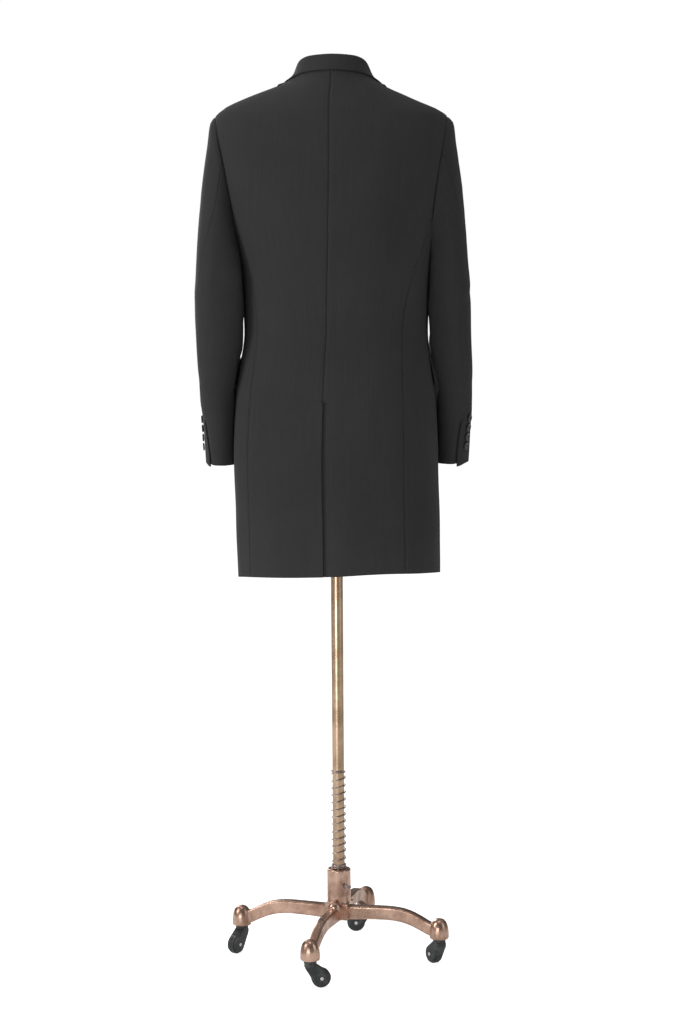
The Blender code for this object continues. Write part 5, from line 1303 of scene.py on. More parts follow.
def tucked_rows(side_name):
    """Two rows of the sleeve's seam allowance, turned in under the coat at the armhole."""
    side = SIDES[side_name]
    around = np.arange(BEARINGS) * 360.0 / BEARINGS
    loop, normals = placed(armhole_points(np.where(around <= 180.0, around, around - 360.0), side))
    rows = []
    for inward, under in ((0.0050, 0.0046), (0.0016, 0.0034)):
        row = loop - normals * under
        row[:, 0] = side * row[:, 0] - inward
        rows.append(row)
    return np.array(rows)


def sleeve_surface(side_name):
    """The whole sleeve as a fine grid of rings, with the share down at each, and its outward directions."""
    side = SIDES[side_name]
    rings = sleeve_frame_rings(side_name)
    middle = rings.mean(axis=1)
    way = np.concatenate([[0.0], np.cumsum(np.linalg.norm(np.diff(middle, axis=0), axis=1))])
    outer_way = np.concatenate([[0.0], np.cumsum(np.linalg.norm(np.diff(rings[:, 0], axis=0), axis=1))])
    knots = 0.5 * (way / way[-1] + outer_way / outer_way[-1])
    shares = edged_shares(0.62, True, True, 0.0075)
    flat = rings.reshape(len(rings), -1)
    fine = np.stack([smooth_curve(knots, flat[:, k])(shares) for k in range(flat.shape[1])], axis=1)
    grid = fine.reshape(len(shares), BEARINGS, 3)
    grid = np.concatenate([tucked_rows(side_name), grid])
    shares = np.concatenate([[0.0, 0.0], shares])
    ahead, behind = np.roll(grid, -2, axis=1), np.roll(grid, 2, axis=1)
    down = np.gradient(grid, axis=0)
    normals = np.cross(down, ahead - behind)
    normals /= np.linalg.norm(normals, axis=2, keepdims=True)
    normals[:3] = normals[3]
    centres = grid.mean(axis=1, keepdims=True)
    outwards = np.sign((normals * (grid - centres)).sum(axis=2).mean())
    return grid, normals * outwards, shares, knots, side


def crease_field(side_name, share, bearing):
    total = np.zeros(np.broadcast(share, bearing).shape)
    for middle, centre, down_width, round_width, slant, depth_of in SLEEVE_CREASES[side_name]:
        away = (bearing - centre + 180.0) % 360.0 - 180.0
        line = middle + slant * away / 60.0
        total = total + depth_of * bump(share - line, down_width) * bump(away, round_width)
    total = total + 0.0008 * soft_waves(bearing / 150.0, share * 3.2, 31 if side_name == "left" else 32)
    total = total + 0.0002 * soft_waves(bearing / 40.0, share * 11.0, 33)
    return total


def at_bearings(grid, bearings):
    """Grid values at any bearings: one row of bearings for each ring."""
    at = (bearings % 360.0) / 360.0 * BEARINGS
    low = np.floor(at).astype(int)
    part = (at - low)[..., None]
    rows = np.arange(len(grid))[:, None]
    return grid[rows, low % BEARINGS] * (1.0 - part) + grid[rows, (low + 1) % BEARINGS] * part


def hind_bearing(side_name, knots, shares):
    """The hind-arm seam's bearing at each share down."""
    by_ring = smooth_curve(*zip(*HIND_SEAM[side_name]))
    ring_at = np.interp(shares, knots, np.linspace(0.0, 1.0, len(knots)))
    return by_ring(ring_at)


CUFF_VENT_SHARE = 0.845
# The cuff's vent: how far the under sleeve runs in below the top sleeve, and how far the top's corner hangs
CUFF_LAP_DEG = 8.0
CUFF_LAP = 0.0070
CUFF_CORNER_DROP = {"left": 0.0035, "right": 0.0045}
CUFF_CORNER_WIDTH = 0.014
CUFF_CORNER_FROM_SHARE = 0.962
HEAD_ROPE = 0.0012
# The hind-arm seam is pressed flatter than the others
HIND_SEAM_SHARE = 0.40


def make_sleeve(side_name):
    grid, normals, shares, knots, side = sleeve_surface(side_name)
    hind = hind_bearing(side_name, knots, shares)
    fore = np.full(len(shares), FORE_SEAM_DEG)
    gap = 0.16
    below_vent = ramp((shares - CUFF_VENT_SHARE) / 0.03)
    strips = {
        "top": (fore + gap, hind - gap),
        "under": (hind + gap - CUFF_LAP_DEG * below_vent, 360.0 + fore - gap),
    }
    mirror = np.array([side, 1.0, 1.0])
    for strip, (start, end) in strips.items():
        across = edged_shares(0.19 if strip == "top" else 0.21, True, True, 0.0075)
        bearings = blend(start[:, None], end[:, None], across[None, :])
        points = at_bearings(grid, bearings)
        outwards = at_bearings(normals, bearings)
        from_start, from_end = row_ends(points)
        share = shares[:, None] + 0.0 * across[None, :]
        lift = crease_field(side_name, share, bearings)
        inner_side = 0.5 - 0.5 * np.cos(np.radians(bearings))
        lift *= ramp(share / 0.10) * (1.0 - 0.8 * inner_side * ramp((0.9 - share) / 0.3))
        lift = np.where(inner_side > 0.6, np.minimum(lift, 0.0), lift)
        hind_side = from_end if strip == "top" else from_start
        fore_side = from_start if strip == "top" else from_end
        sewn = ramp((CUFF_VENT_SHARE - share) / 0.01)
        lift += HIND_SEAM_SHARE * seam_relief(hind_side) * sewn + seam_relief(fore_side)
        lift += seam_relief(share * 0.62) * 0.5
        over_shoulder = bump((bearings + 180.0) % 360.0 - 180.0, 70.0)
        lift += HEAD_ROPE * over_shoulder * bump(share - 0.012, 0.014)
        lift[:2] = 0.0
        vent = ramp((share - CUFF_VENT_SHARE) / 0.02)
        if strip == "top":
            lift += 0.0008 * bump(hind_side, 0.014) * vent
            corner = bump(hind_side, CUFF_CORNER_WIDTH) * ramp((share - CUFF_CORNER_FROM_SHARE) / (1.0 - CUFF_CORNER_FROM_SHARE))
            points[..., 2] -= CUFF_CORNER_DROP[side_name] * corner
        else:
            lift -= (CLOTH + 0.0004) * ramp((CUFF_LAP + 0.005 - hind_side) / 0.005) * below_vent[:, None]
        outer = (points + outwards * lift[..., None]) * mirror
        inner = (points + outwards * (lift - CLOTH)[..., None]) * mirror
        name = f"{strip}_sleeve_{side_name}_cloth"
        piece = add_piece(name, shell_mesh(name, outer, inner), ["wool"], BODY, [f"{strip}_sleeve_{side_name}"])
        round_edges(piece, 0.0007)


# Buttons


def turned_mesh(profile, around=48):
    """A closed turned piece from its half profile, from the axis at the foot to the axis at the top."""
    mesh = bmesh.new()
    rings = []
    for radius, height in profile:
        if radius == 0.0:
            rings.append([mesh.verts.new((0.0, 0.0, height))])
            continue
        turns = [2.0 * math.pi * k / around for k in range(around)]
        rings.append([mesh.verts.new((radius * math.cos(t), radius * math.sin(t), height)) for t in turns])
    for low, high in zip(rings, rings[1:]):
        for k in range(around):
            after = (k + 1) % around
            corners = [low[k % len(low)], low[after % len(low)], high[after % len(high)], high[k % len(high)]]
            mesh.faces.new(list(dict.fromkeys(corners)))
    bmesh.ops.recalc_face_normals(mesh, faces=mesh.faces)
    return mesh


def smooth_profile(points, steps=4):
    """A half profile with its corners rounded by cutting them twice."""
    points = [np.array(p, float) for p in points]
    for _ in range(2):
        cut = [points[0]]
        for a, b in zip(points, points[1:]):
            cut += [blend(a, b, 0.25), blend(a, b, 0.75)]
        cut.append(points[-1])
        points = cut
    return [(float(max(p[0], 0.0)), float(p[1])) for p in points]


def tube_into(mesh, points, radius, sides=8, material=0):
    """Adds a closed round tube along the points to a mesh."""
    points = [Vector(p) for p in points]
    rings = []
    for k, point in enumerate(points):
        ahead = points[min(k + 1, len(points) - 1)] - points[max(k - 1, 0)]
        turn = ahead.to_track_quat("Z", "X")
        ring = []
        for j in range(sides):
            angle = 2.0 * math.pi * j / sides
            ring.append(mesh.verts.new(point + turn @ Vector((radius * math.cos(angle), radius * math.sin(angle), 0.0))))
        rings.append(ring)
    faces = []
    for near, far in zip(rings, rings[1:]):
        for j in range(sides):
            after = (j + 1) % sides
            faces.append(mesh.faces.new([near[j], near[after], far[after], far[j]]))
    faces.append(mesh.faces.new(list(reversed(rings[0]))))
    faces.append(mesh.faces.new(rings[-1]))
    for face in faces:
        face.material_index = material
    return faces


def button_mesh(name, radius, thickness):
    """A four-hole button with a raised rim, sewn on with two strands of thread."""
    profile = smooth_profile(
        (
            (0.0, 0.0),
            (0.78 * radius, 0.0),
            (radius, 0.30 * thickness),
            (radius, 0.75 * thickness),
            (0.90 * radius, thickness),
            (0.74 * radius, 0.98 * thickness),
            (0.62 * radius, 0.70 * thickness),
            (0.0, 0.66 * thickness),
        )
    )
    body = bpy.data.meshes.new(f"{name}_disc")
    disc = turned_mesh(profile, 40)
    disc.to_mesh(body)
    disc.free()
    holder = bpy.data.objects.new(f"{name}_disc", body)
    bpy.context.scene.collection.objects.link(holder)
    holes = bmesh.new()
    reach = 0.19 * radius
    for k in range(4):
        angle = math.pi / 4.0 + k * math.pi / 2.0
        at = Matrix.Translation((math.sqrt(2.0) * reach * math.cos(angle), math.sqrt(2.0) * reach * math.sin(angle), 0.5 * thickness))
        bmesh.ops.create_cone(
            holes, cap_ends=True, segments=12, radius1=0.095 * radius, radius2=0.095 * radius, depth=3.0 * thickness, matrix=at
        )
    cutter_mesh = bpy.data.meshes.new(f"{name}_holes")
    holes.to_mesh(cutter_mesh)
    holes.free()
    cutter = bpy.data.objects.new(f"{name}_holes", cutter_mesh)
    bpy.context.scene.collection.objects.link(cutter)
    cut = holder.modifiers.new("holes", "BOOLEAN")
    cut.object = cutter
    cut.operation = "DIFFERENCE"
    cut.solver = "EXACT"
    seen = bpy.context.evaluated_depsgraph_get()
    finished = bpy.data.meshes.new_from_object(holder.evaluated_get(seen))
    bpy.data.objects.remove(holder)
    bpy.data.objects.remove(cutter)
    work = bmesh.new()
    work.from_mesh(finished)
    top = 0.70 * thickness
    for side in (-1.0, 1.0):
        x = side * reach
        strand = [(x, -reach, 0.02 * thickness), (x, -reach, top), (x * 0.8, 0.0, top + 0.0006), (x, reach, top), (x, reach, 0.02 * thickness)]
        tube_into(work, resampled(strand, np.linspace(0.0, 1.0, 12)), 0.055 * radius, 6, 1)
    work.to_mesh(finished)
    work.free()
    finished.shade_smooth()
    finished.set_sharp_from_angle(angle=math.radians(40.0))
    return finished


def facing(direction):
    return Vector(direction).to_track_quat("Z", "Y").to_matrix().to_4x4()


def node_frame(name):
    """The middle and outward direction of a small CAD disc: its flattest axis, pointing away from the coat."""
    points = np.array([tuple(v.co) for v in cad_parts[name].data.vertices])
    middle = points.mean(axis=0)
    axes = np.linalg.svd(points - middle, full_matrices=False)[2]
    outward = axes[2]
    coat_middle = np.array([math.copysign(0.215, middle[0]), middle[1] + 0.03, middle[2]]) if "cuff" in name else np.array([0.0, 0.0, middle[2]])
    if np.dot(outward, middle - coat_middle) < 0.0:
        outward = -outward
    low = (points @ outward).min()
    seat = middle + outward * (low - middle @ outward)
    return seat, outward


def make_buttons():
    cuff = button_mesh("cuff_button", 0.0075, 0.0034)
    front = button_mesh("front_button", 0.0105, 0.0040)
    names = [f"cuff_button_{side}_{k}" for side in SIDES for k in (1, 2, 3, 4)] + [f"front_button_{k}" for k in (1, 2, 3)]
    for number, name in enumerate(names):
        seat, outward = node_frame(name)
        mesh = (cuff if name.startswith("cuff") else front).copy()
        turn = Matrix.Rotation(0.35 * math.sin(2.4 * number), 4, "Z")
        mesh.transform(Matrix.Translation(seat) @ facing(outward) @ turn)
        mesh.name = f"{name}_sewn"
        add_piece(f"{name}_sewn", mesh, ["button", "thread"], BODY, [name])


# Dress form

FORM_INSET = ((0.860, 0.0160), (1.000, 0.0150), (1.200, 0.0130), (1.400, 0.0130), (1.520, 0.0120), (1.580, 0.0112), (1.600, 0.0092), (1.658, 0.0070))
FORM_NECK = ((1.6620, 0.0690, 0.0030, 0.0620), (1.6760, 0.0560, 0.0030, 0.0520), (1.6960, 0.0535, 0.0030, 0.0495))


def make_form():
    """The limbless form under the coat: a covered torso, closed below, with a short capped neck."""
    inset = column(FORM_INSET, 0, 1)
    around = 112
    turns = np.arange(around) * 2.0 * math.pi / around
    angle = np.arcsin(np.sin(turns))
    side = np.where(np.cos(turns) >= 0.0, 1.0, -1.0)
    rings = []
    heights = np.concatenate([[0.8605, 0.862, 0.866, 0.872], np.linspace(0.88, 1.60, 74), np.linspace(1.604, 1.652, 16)])
    for z in heights:
        points = at_section_angle(angle, np.full(around, z), side)
        narrowed = 0.0052 * ramp((np.abs(points[:, 0]) - 0.140) / 0.050)
        rounding = 0.010 * ramp(1.0 - (z - 0.8605) / 0.012) ** 2
        seam = -0.0006 * (bump(points[:, 0], 0.0018) + bump(np.abs(points[:, 0]) - 0.10, 0.0018))
        normals = torso_normals(points)
        moved = points + normals * (seam - float(inset(z)) - narrowed - rounding)[:, None]
        turn = math.radians(float(torso_turn(z)))
        x = moved[:, 0] * math.cos(turn) - moved[:, 1] * math.sin(turn) + float(torso_shift(z))
        y = moved[:, 0] * math.sin(turn) + moved[:, 1] * math.cos(turn)
        rings.append(np.stack([x, y, moved[:, 2]], axis=1))
    neck = [column(FORM_NECK, 0, k) for k in (1, 2, 3)]
    for z in np.linspace(FORM_NECK[0][0], FORM_NECK[-1][0], 12):
        wide, middle_y, deep = (float(value(z)) for value in neck)
        rings.append(np.stack([0.001 + wide * np.cos(turns), middle_y + deep * np.sin(turns), np.full(around, z)], axis=1))
    for shrink, z in ((0.985, 1.6985), (0.94, 1.7002), (0.86, 1.7008), (0.40, 1.7010)):
        rings.append(np.stack([0.001 + 0.0535 * shrink * np.cos(turns), 0.003 + 0.0495 * shrink * np.sin(turns), np.full(around, z)], axis=1))
    rings = np.array(rings)
    lengths = np.concatenate([[0.0], np.cumsum(np.linalg.norm(np.diff(rings[:, 0], axis=0), axis=1))])
    mesh = lofted_mesh("form_cover", rings, lengths, turns / (2.0 * math.pi))
    mesh.set_sharp_from_angle(angle=math.radians(60.0))
    form = add_piece("form_cover", mesh, ["cover"], BODY, ["dress_form"])


# Stand

BASE_TURN_DEG = -15.75
LEG_NAMES = ("left", "back", "right", "front")
LEG_REACH = 0.197
HUB_TOP_Z = 0.1755
HUB_FOOT_Z = 0.0788
POLE_RADIUS = 0.0113
CASTER_TRAIL_DEG = {"left": 56.6, "back": 191.5, "right": -61.6, "front": 0.0}
# A leg's bar: distance out, top, foot, half width
LEG_BAR = (
    (0.0190, 0.1050, 0.0785, 0.0098),
    (0.0300, 0.1052, 0.0788, 0.0095),
    (0.0600, 0.1062, 0.0805, 0.0092),
    (0.0950, 0.1070, 0.0818, 0.0090),
    (0.1200, 0.1055, 0.0800, 0.0089),
    (0.1400, 0.1010, 0.0748, 0.0088),
    (0.1600, 0.0925, 0.0662, 0.0086),
    (0.1780, 0.0830, 0.0578, 0.0084),
    (0.1960, 0.0760, 0.0540, 0.0082),
)
CAP_PROFILE = (
    (0.0, 0.0519),
    (0.0172, 0.0519),
    (0.0183, 0.0530),
    (0.0182, 0.0640),
    (0.0171, 0.0740),
    (0.0141, 0.0832),
    (0.0087, 0.0890),
    (0.0, 0.0908),
)


def finished_mesh(holder):
    """The evaluated mesh of a holder object, which is then removed."""
    seen = bpy.context.evaluated_depsgraph_get()
    mesh = bpy.data.meshes.new_from_object(holder.evaluated_get(seen))
    bpy.data.objects.remove(holder)
    return mesh


def holder_of(mesh_data, name):
    mesh = bpy.data.meshes.new(name)
    mesh_data.to_mesh(mesh)
    mesh_data.free()
    holder = bpy.data.objects.new(name, mesh)
    bpy.context.scene.collection.objects.link(holder)
    return holder


def leg_section(half, foot, top, corners=5, radius=0.0032):
    """A rounded upright rectangle, as points (y, z)."""
    points = []
    for cy, cz, start in ((half, foot, -90.0), (half, top, 0.0), (-half, top, 90.0), (-half, foot, 180.0)):
        middle = (cy - math.copysign(radius, cy), cz + (radius if cz == foot else -radius))
        for k in range(corners):
            angle = math.radians(start + 90.0 * k / (corners - 1))
            points.append((middle[0] + radius * math.cos(angle), middle[1] + radius * math.sin(angle)))
    return points


def loft_into(mesh, rings):
    made = [[mesh.verts.new(point) for point in ring] for ring in rings]
    count = len(made[0])
    for near, far in zip(made, made[1:]):
        for k in range(count):
            after = (k + 1) % count
            mesh.faces.new([near[k], near[after], far[after], far[k]])
    mesh.faces.new(list(reversed(made[0])))
    mesh.faces.new(made[-1])


def make_leg(name, angle_deg, with_knuckle):
    """A cast leg: an arched bar, its domed cap and, at the back, a rounded boss, with soft casting fillets."""
    mesh = bmesh.new()
    reach = [row[0] for row in LEG_BAR]
    values = [smooth_curve(reach, [row[k] for row in LEG_BAR]) for k in (1, 2, 3)]
    rings = []
    for r in np.linspace(reach[0], reach[-1], 46):
        top, foot, half = (float(value(r)) for value in values)
        rings.append([(float(r), y, z) for y, z in leg_section(half, foot, top)])
    loft_into(mesh, rings)
    cap = turned_mesh(smooth_profile(CAP_PROFILE), 56)
    bmesh.ops.translate(cap, verts=cap.verts, vec=(LEG_REACH, 0.0, 0.0))
    extra = bpy.data.meshes.new("cap")
    cap.to_mesh(extra)
    cap.free()
    mesh.from_mesh(extra)
    if with_knuckle:
        knuckle = bmesh.new()
        bmesh.ops.create_uvsphere(knuckle, u_segments=32, v_segments=20, radius=0.0125)
        for vertex in knuckle.verts:
            vertex.co.x *= 0.84
        bmesh.ops.translate(knuckle, verts=knuckle.verts, vec=(0.0340, 0.0, 0.1065))
        knuckle.to_mesh(extra)
        knuckle.free()
        mesh.from_mesh(extra)
    holder = holder_of(mesh, f"{name}_blank")
    remesh = holder.modifiers.new("joined", "REMESH")
    remesh.mode = "VOXEL"
    remesh.voxel_size = 0.00095
    soften = holder.modifiers.new("fillets", "SMOOTH")
    soften.factor = 0.5
    soften.iterations = 9
    thin = holder.modifiers.new("fewer_faces", "DECIMATE")
    thin.ratio = 0.42
    mesh = finished_mesh(holder)
    mesh.transform(Matrix.Rotation(math.radians(angle_deg), 4, "Z"))
    mesh.shade_smooth()
    mesh.name = f"{name}_casting"
    return add_piece(f"{name}_casting", mesh, ["copper"], "base", [name])


def make_hub():
    """The cast hub: a turned socket on a squared foot, with the bore for the pole."""
    profile = ((0.0, HUB_FOOT_Z), (0.0222, HUB_FOOT_Z), (0.0225, 0.0798), (0.0225, HUB_TOP_Z - 0.0022), (0.0217, HUB_TOP_Z - 0.0006), (0.0205, HUB_TOP_Z), (0.0, HUB_TOP_Z))
    mesh = turned_mesh(profile, 72)
    block = bmesh.new()
    bmesh.ops.create_cube(block, size=1.0)
    bmesh.ops.scale(block, vec=(0.0452, 0.0452, 0.0318), verts=block.verts)
    bmesh.ops.rotate(block, cent=(0, 0, 0), matrix=Matrix.Rotation(math.radians(BASE_TURN_DEG), 3, "Z"), verts=block.verts)
    bmesh.ops.translate(block, verts=block.verts, vec=(0.0, 0.0, 0.0952))
    extra = bpy.data.meshes.new("hub_block")
    block.to_mesh(extra)
    block.free()
    mesh.from_mesh(extra)
    holder = holder_of(mesh, "hub_blank")
    remesh = holder.modifiers.new("joined", "REMESH")
    remesh.mode = "VOXEL"
    remesh.voxel_size = 0.0008
    soften = holder.modifiers.new("fillets", "SMOOTH")
    soften.factor = 0.5
    soften.iterations = 6
    bore = turned_mesh(((0.0, 0.05), (0.0117, 0.05), (0.0117, 0.1742), (0.0129, HUB_TOP_Z + 0.0001), (0.0129, 0.20), (0.0, 0.20)), 72)
    cutter = holder_of(bore, "hub_bore")
    cut = holder.modifiers.new("bore", "BOOLEAN")
    cut.object = cutter
    cut.operation = "DIFFERENCE"
    cut.solver = "EXACT"
    thin = holder.modifiers.new("fewer_faces", "DECIMATE")
    thin.ratio = 0.5
    mesh = finished_mesh(holder)
    bpy.data.objects.remove(cutter)
    mesh.shade_smooth()
    mesh.set_sharp_from_angle(angle=math.radians(50.0))
    mesh.name = "hub_casting"
    return add_piece("hub_casting", mesh, ["copper"], "base", ["hub"])


def make_pole():
    top = 0.9197
    profile = ((0.0, 0.0840), (0.0103, 0.0840), (POLE_RADIUS, 0.0850), (POLE_RADIUS, 0.4), (POLE_RADIUS, 0.7), (POLE_RADIUS, top), (0.0, top))
    work = turned_mesh(profile, 64)
    mesh = bpy.data.meshes.new("pole_tube")
    work.to_mesh(mesh)
    work.free()
    mesh.shade_smooth()
    mesh.set_sharp_from_angle(angle=math.radians(40.0))
    return add_piece("pole_tube", mesh, ["brass"], "pole", ["pole"])


def coil_tree():
    """Winds a round wire into a spring with close turns at its ends."""
    tree = bpy.data.node_groups.new("wound_spring", "GeometryNodeTree")
    wanted = (
        ("Foot Height", 0.177), ("Top Height", 0.365), ("Coil Radius", 0.0133), ("Wire Radius", 0.0012),
        ("Open Turns", 12.6), ("Foot Turns", 2.6), ("Top Turns", 1.2), ("Unevenness", 0.0009),
    )
    for label, value in wanted:
        socket = tree.interface.new_socket(name=label, in_out="INPUT", socket_type="NodeSocketFloat")
        socket.default_value = value
    tree.interface.new_socket(name="Steps", in_out="INPUT", socket_type="NodeSocketInt").default_value = 560
    tree.interface.new_socket(name="Finish", in_out="INPUT", socket_type="NodeSocketMaterial")
    tree.interface.new_socket(name="Geometry", in_out="OUTPUT", socket_type="NodeSocketGeometry")
    nodes, links = tree.nodes, tree.links
    given, result = nodes.new("NodeGroupInput"), nodes.new("NodeGroupOutput")

    def calc(operation, first, second=None):
        made = nodes.new("ShaderNodeMath")
        made.operation = operation
        for socket, value in zip(made.inputs, (first, second)):
            if value is None:
                continue
            if isinstance(value, (int, float)):
                socket.default_value = value
            else:
                links.new(value, socket)
        return made.outputs[0]

    line = nodes.new("GeometryNodeCurvePrimitiveLine")
    points = nodes.new("GeometryNodeResampleCurve")
    links.new(line.outputs["Curve"], points.inputs["Curve"])
    links.new(given.outputs["Steps"], points.inputs["Count"])
    along = nodes.new("GeometryNodeSplineParameter").outputs["Factor"]
    foot_turns, top_turns, open_turns = given.outputs["Foot Turns"], given.outputs["Top Turns"], given.outputs["Open Turns"]
    total = calc("ADD", calc("ADD", foot_turns, open_turns), top_turns)
    turns = calc("MULTIPLY", along, total)
    wire = given.outputs["Wire Radius"]
    close_pitch = calc("MULTIPLY", wire, 2.25)
    foot_part = calc("MINIMUM", turns, foot_turns)
    open_part = calc("MINIMUM", calc("MAXIMUM", calc("SUBTRACT", turns, foot_turns), 0.0), open_turns)
    top_part = calc("MAXIMUM", calc("SUBTRACT", calc("SUBTRACT", turns, foot_turns), open_turns), 0.0)
    closed_rise = calc("MULTIPLY", calc("ADD", foot_turns, top_turns), close_pitch)
    whole_rise = calc("SUBTRACT", given.outputs["Top Height"], given.outputs["Foot Height"])
    open_pitch = calc("DIVIDE", calc("SUBTRACT", whole_rise, closed_rise), open_turns)
    rise = calc("ADD", calc("MULTIPLY", calc("ADD", foot_part, top_part), close_pitch), calc("MULTIPLY", open_part, open_pitch))
    uneven = calc("MULTIPLY", calc("SINE", calc("MULTIPLY", turns, 1.7)), given.outputs["Unevenness"])
    inside = calc("MULTIPLY", calc("MULTIPLY", along, calc("SUBTRACT", 1.0, along)), 4.0)
    height = calc("ADD", calc("ADD", given.outputs["Foot Height"], rise), calc("MULTIPLY", uneven, inside))
    angle = calc("MULTIPLY", turns, 2.0 * math.pi)
    place = nodes.new("ShaderNodeCombineXYZ")
    links.new(calc("MULTIPLY", calc("COSINE", angle), given.outputs["Coil Radius"]), place.inputs["X"])
    links.new(calc("MULTIPLY", calc("SINE", angle), given.outputs["Coil Radius"]), place.inputs["Y"])
    links.new(height, place.inputs["Z"])
    bent = nodes.new("GeometryNodeSetPosition")
    links.new(points.outputs["Curve"], bent.inputs["Geometry"])
    links.new(place.outputs["Vector"], bent.inputs["Position"])
    ring = nodes.new("GeometryNodeCurvePrimitiveCircle")
    ring.inputs["Resolution"].default_value = 10
    links.new(wire, ring.inputs["Radius"])
    swept = nodes.new("GeometryNodeCurveToMesh")
    links.new(bent.outputs["Geometry"], swept.inputs["Curve"])
    links.new(ring.outputs["Curve"], swept.inputs["Profile Curve"])
    swept.inputs["Fill Caps"].default_value = True
    smooth = nodes.new("GeometryNodeSetShadeSmooth")
    links.new(swept.outputs["Mesh"], smooth.inputs["Geometry"])
    real = nodes.new("GeometryNodeRealizeInstances")
    links.new(smooth.outputs["Geometry"], real.inputs["Geometry"])
    coloured = nodes.new("GeometryNodeSetMaterial")
    links.new(real.outputs["Geometry"], coloured.inputs["Geometry"])
    links.new(given.outputs["Finish"], coloured.inputs["Material"])
    links.new(coloured.outputs["Geometry"], result.inputs["Geometry"])
    return tree


def grown_piece(name, tree, values, body, replaced=(), source=None):
    """Runs a geometry tree and keeps its result as a plain mesh piece."""
    holder = bpy.data.objects.new(f"{name}_source", source or bpy.data.meshes.new(f"{name}_source"))
    bpy.context.scene.collection.objects.link(holder)
    modifier = holder.modifiers.new(name, "NODES")
    modifier.node_group = tree
    for item in tree.interface.items_tree:
        if item.in_out == "INPUT" and item.name in values:
            modifier[item.identifier] = values[item.name]
    mesh = finished_mesh(holder)
    mesh.name = name
    piece = bpy.data.objects.new(name, mesh)
    bpy.context.scene.collection.objects.link(piece)
    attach(piece, body)
    if replaced:
        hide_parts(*replaced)
    return piece


def make_spring():
    return grown_piece("spring_coil", coil_tree(), {"Finish": FINISHES["steel"]}, "base", ["spring"])


def make_lock_screw():
    """A knurled screw in the hub with a split ring through its head."""
    bearing = math.radians(122.0)
    out = Vector((math.cos(bearing), math.sin(bearing), 0.0))
    start, seat, head = POLE_RADIUS + 0.0003, 0.0229, 0.0050
    profile = ((0.0, start), (0.0028, start), (0.0028, seat), (0.0044, seat), (0.0048, seat + 0.0006), (0.0048, seat + head - 0.0010), (0.0040, seat + head), (0.0, seat + head))
    mesh = turned_mesh(profile, 40)
    for vertex in mesh.verts:
        radius = math.hypot(vertex.co.x, vertex.co.y)
        if radius > 0.0046:
            angle = math.atan2(vertex.co.y, vertex.co.x)
            vertex.co.x *= 1.0 + 0.025 * math.cos(20.0 * angle)
            vertex.co.y *= 1.0 + 0.025 * math.cos(20.0 * angle)
    turns = np.linspace(0.0, 2.0 * math.pi * 0.985, 44)
    middle = seat + head + 0.0035
    tube_into(mesh, [(0.0058 * math.cos(t), 0.0003 * math.sin(3 * t), middle + 0.0058 * math.sin(t)) for t in turns], 0.0010, 10)
    bmesh.ops.recalc_face_normals(mesh, faces=mesh.faces)
    made = bpy.data.meshes.new("lock_screw_turned")
    mesh.to_mesh(made)
    mesh.free()
    made.transform(Matrix.Translation((0.0, 0.0, 0.1450)) @ facing(out))
    made.shade_smooth()
    made.set_sharp_from_angle(angle=math.radians(35.0))
    return add_piece("lock_screw_turned", made, ["steel"], "lock_screw", ["lock_screw"])


# Casters

CASTER_TRAIL = 0.0200
WHEEL_RADIUS = 0.0180


def hood_outline():
    """The hood from the side: an arc round the stem and an arc round the wheel, joined by straight lines."""
    stem, wheel = Vector((0.0, 0.0400)), Vector((CASTER_TRAIL, WHEEL_RADIUS))
    reach = wheel - stem
    lean = math.atan2(reach.y, reach.x)
    spread = math.acos((0.0100 - 0.0160) / reach.length)
    points = [stem + 0.0100 * Vector((math.cos(lean + t), math.sin(lean + t))) for t in np.linspace(spread, 2.0 * math.pi - spread, 26)]
    points += [wheel + 0.0160 * Vector((math.cos(lean + t), math.sin(lean + t))) for t in np.linspace(-spread, spread, 40)]
    return points


def caster_place(name):
    number = LEG_NAMES.index(name)
    angle = math.radians(BASE_TURN_DEG + 90.0 * number)
    at = (LEG_REACH * math.cos(angle), LEG_REACH * math.sin(angle), 0.0)
    return Matrix.Translation(at) @ Matrix.Rotation(math.radians(CASTER_TRAIL_DEG[name]), 4, "Z")


def axle_place():
    return Matrix.Translation((CASTER_TRAIL, 0.0, WHEEL_RADIUS)) @ Matrix.Rotation(math.radians(90.0), 4, "X")


def kept(work, name, place, finish_names, body, replaced, sharp_deg=35.0):
    mesh = bpy.data.meshes.new(name)
    work.to_mesh(mesh)
    work.free()
    mesh.transform(place)
    mesh.shade_smooth()
    mesh.set_sharp_from_angle(angle=math.radians(sharp_deg))
    return add_piece(name, mesh, finish_names, body, replaced)


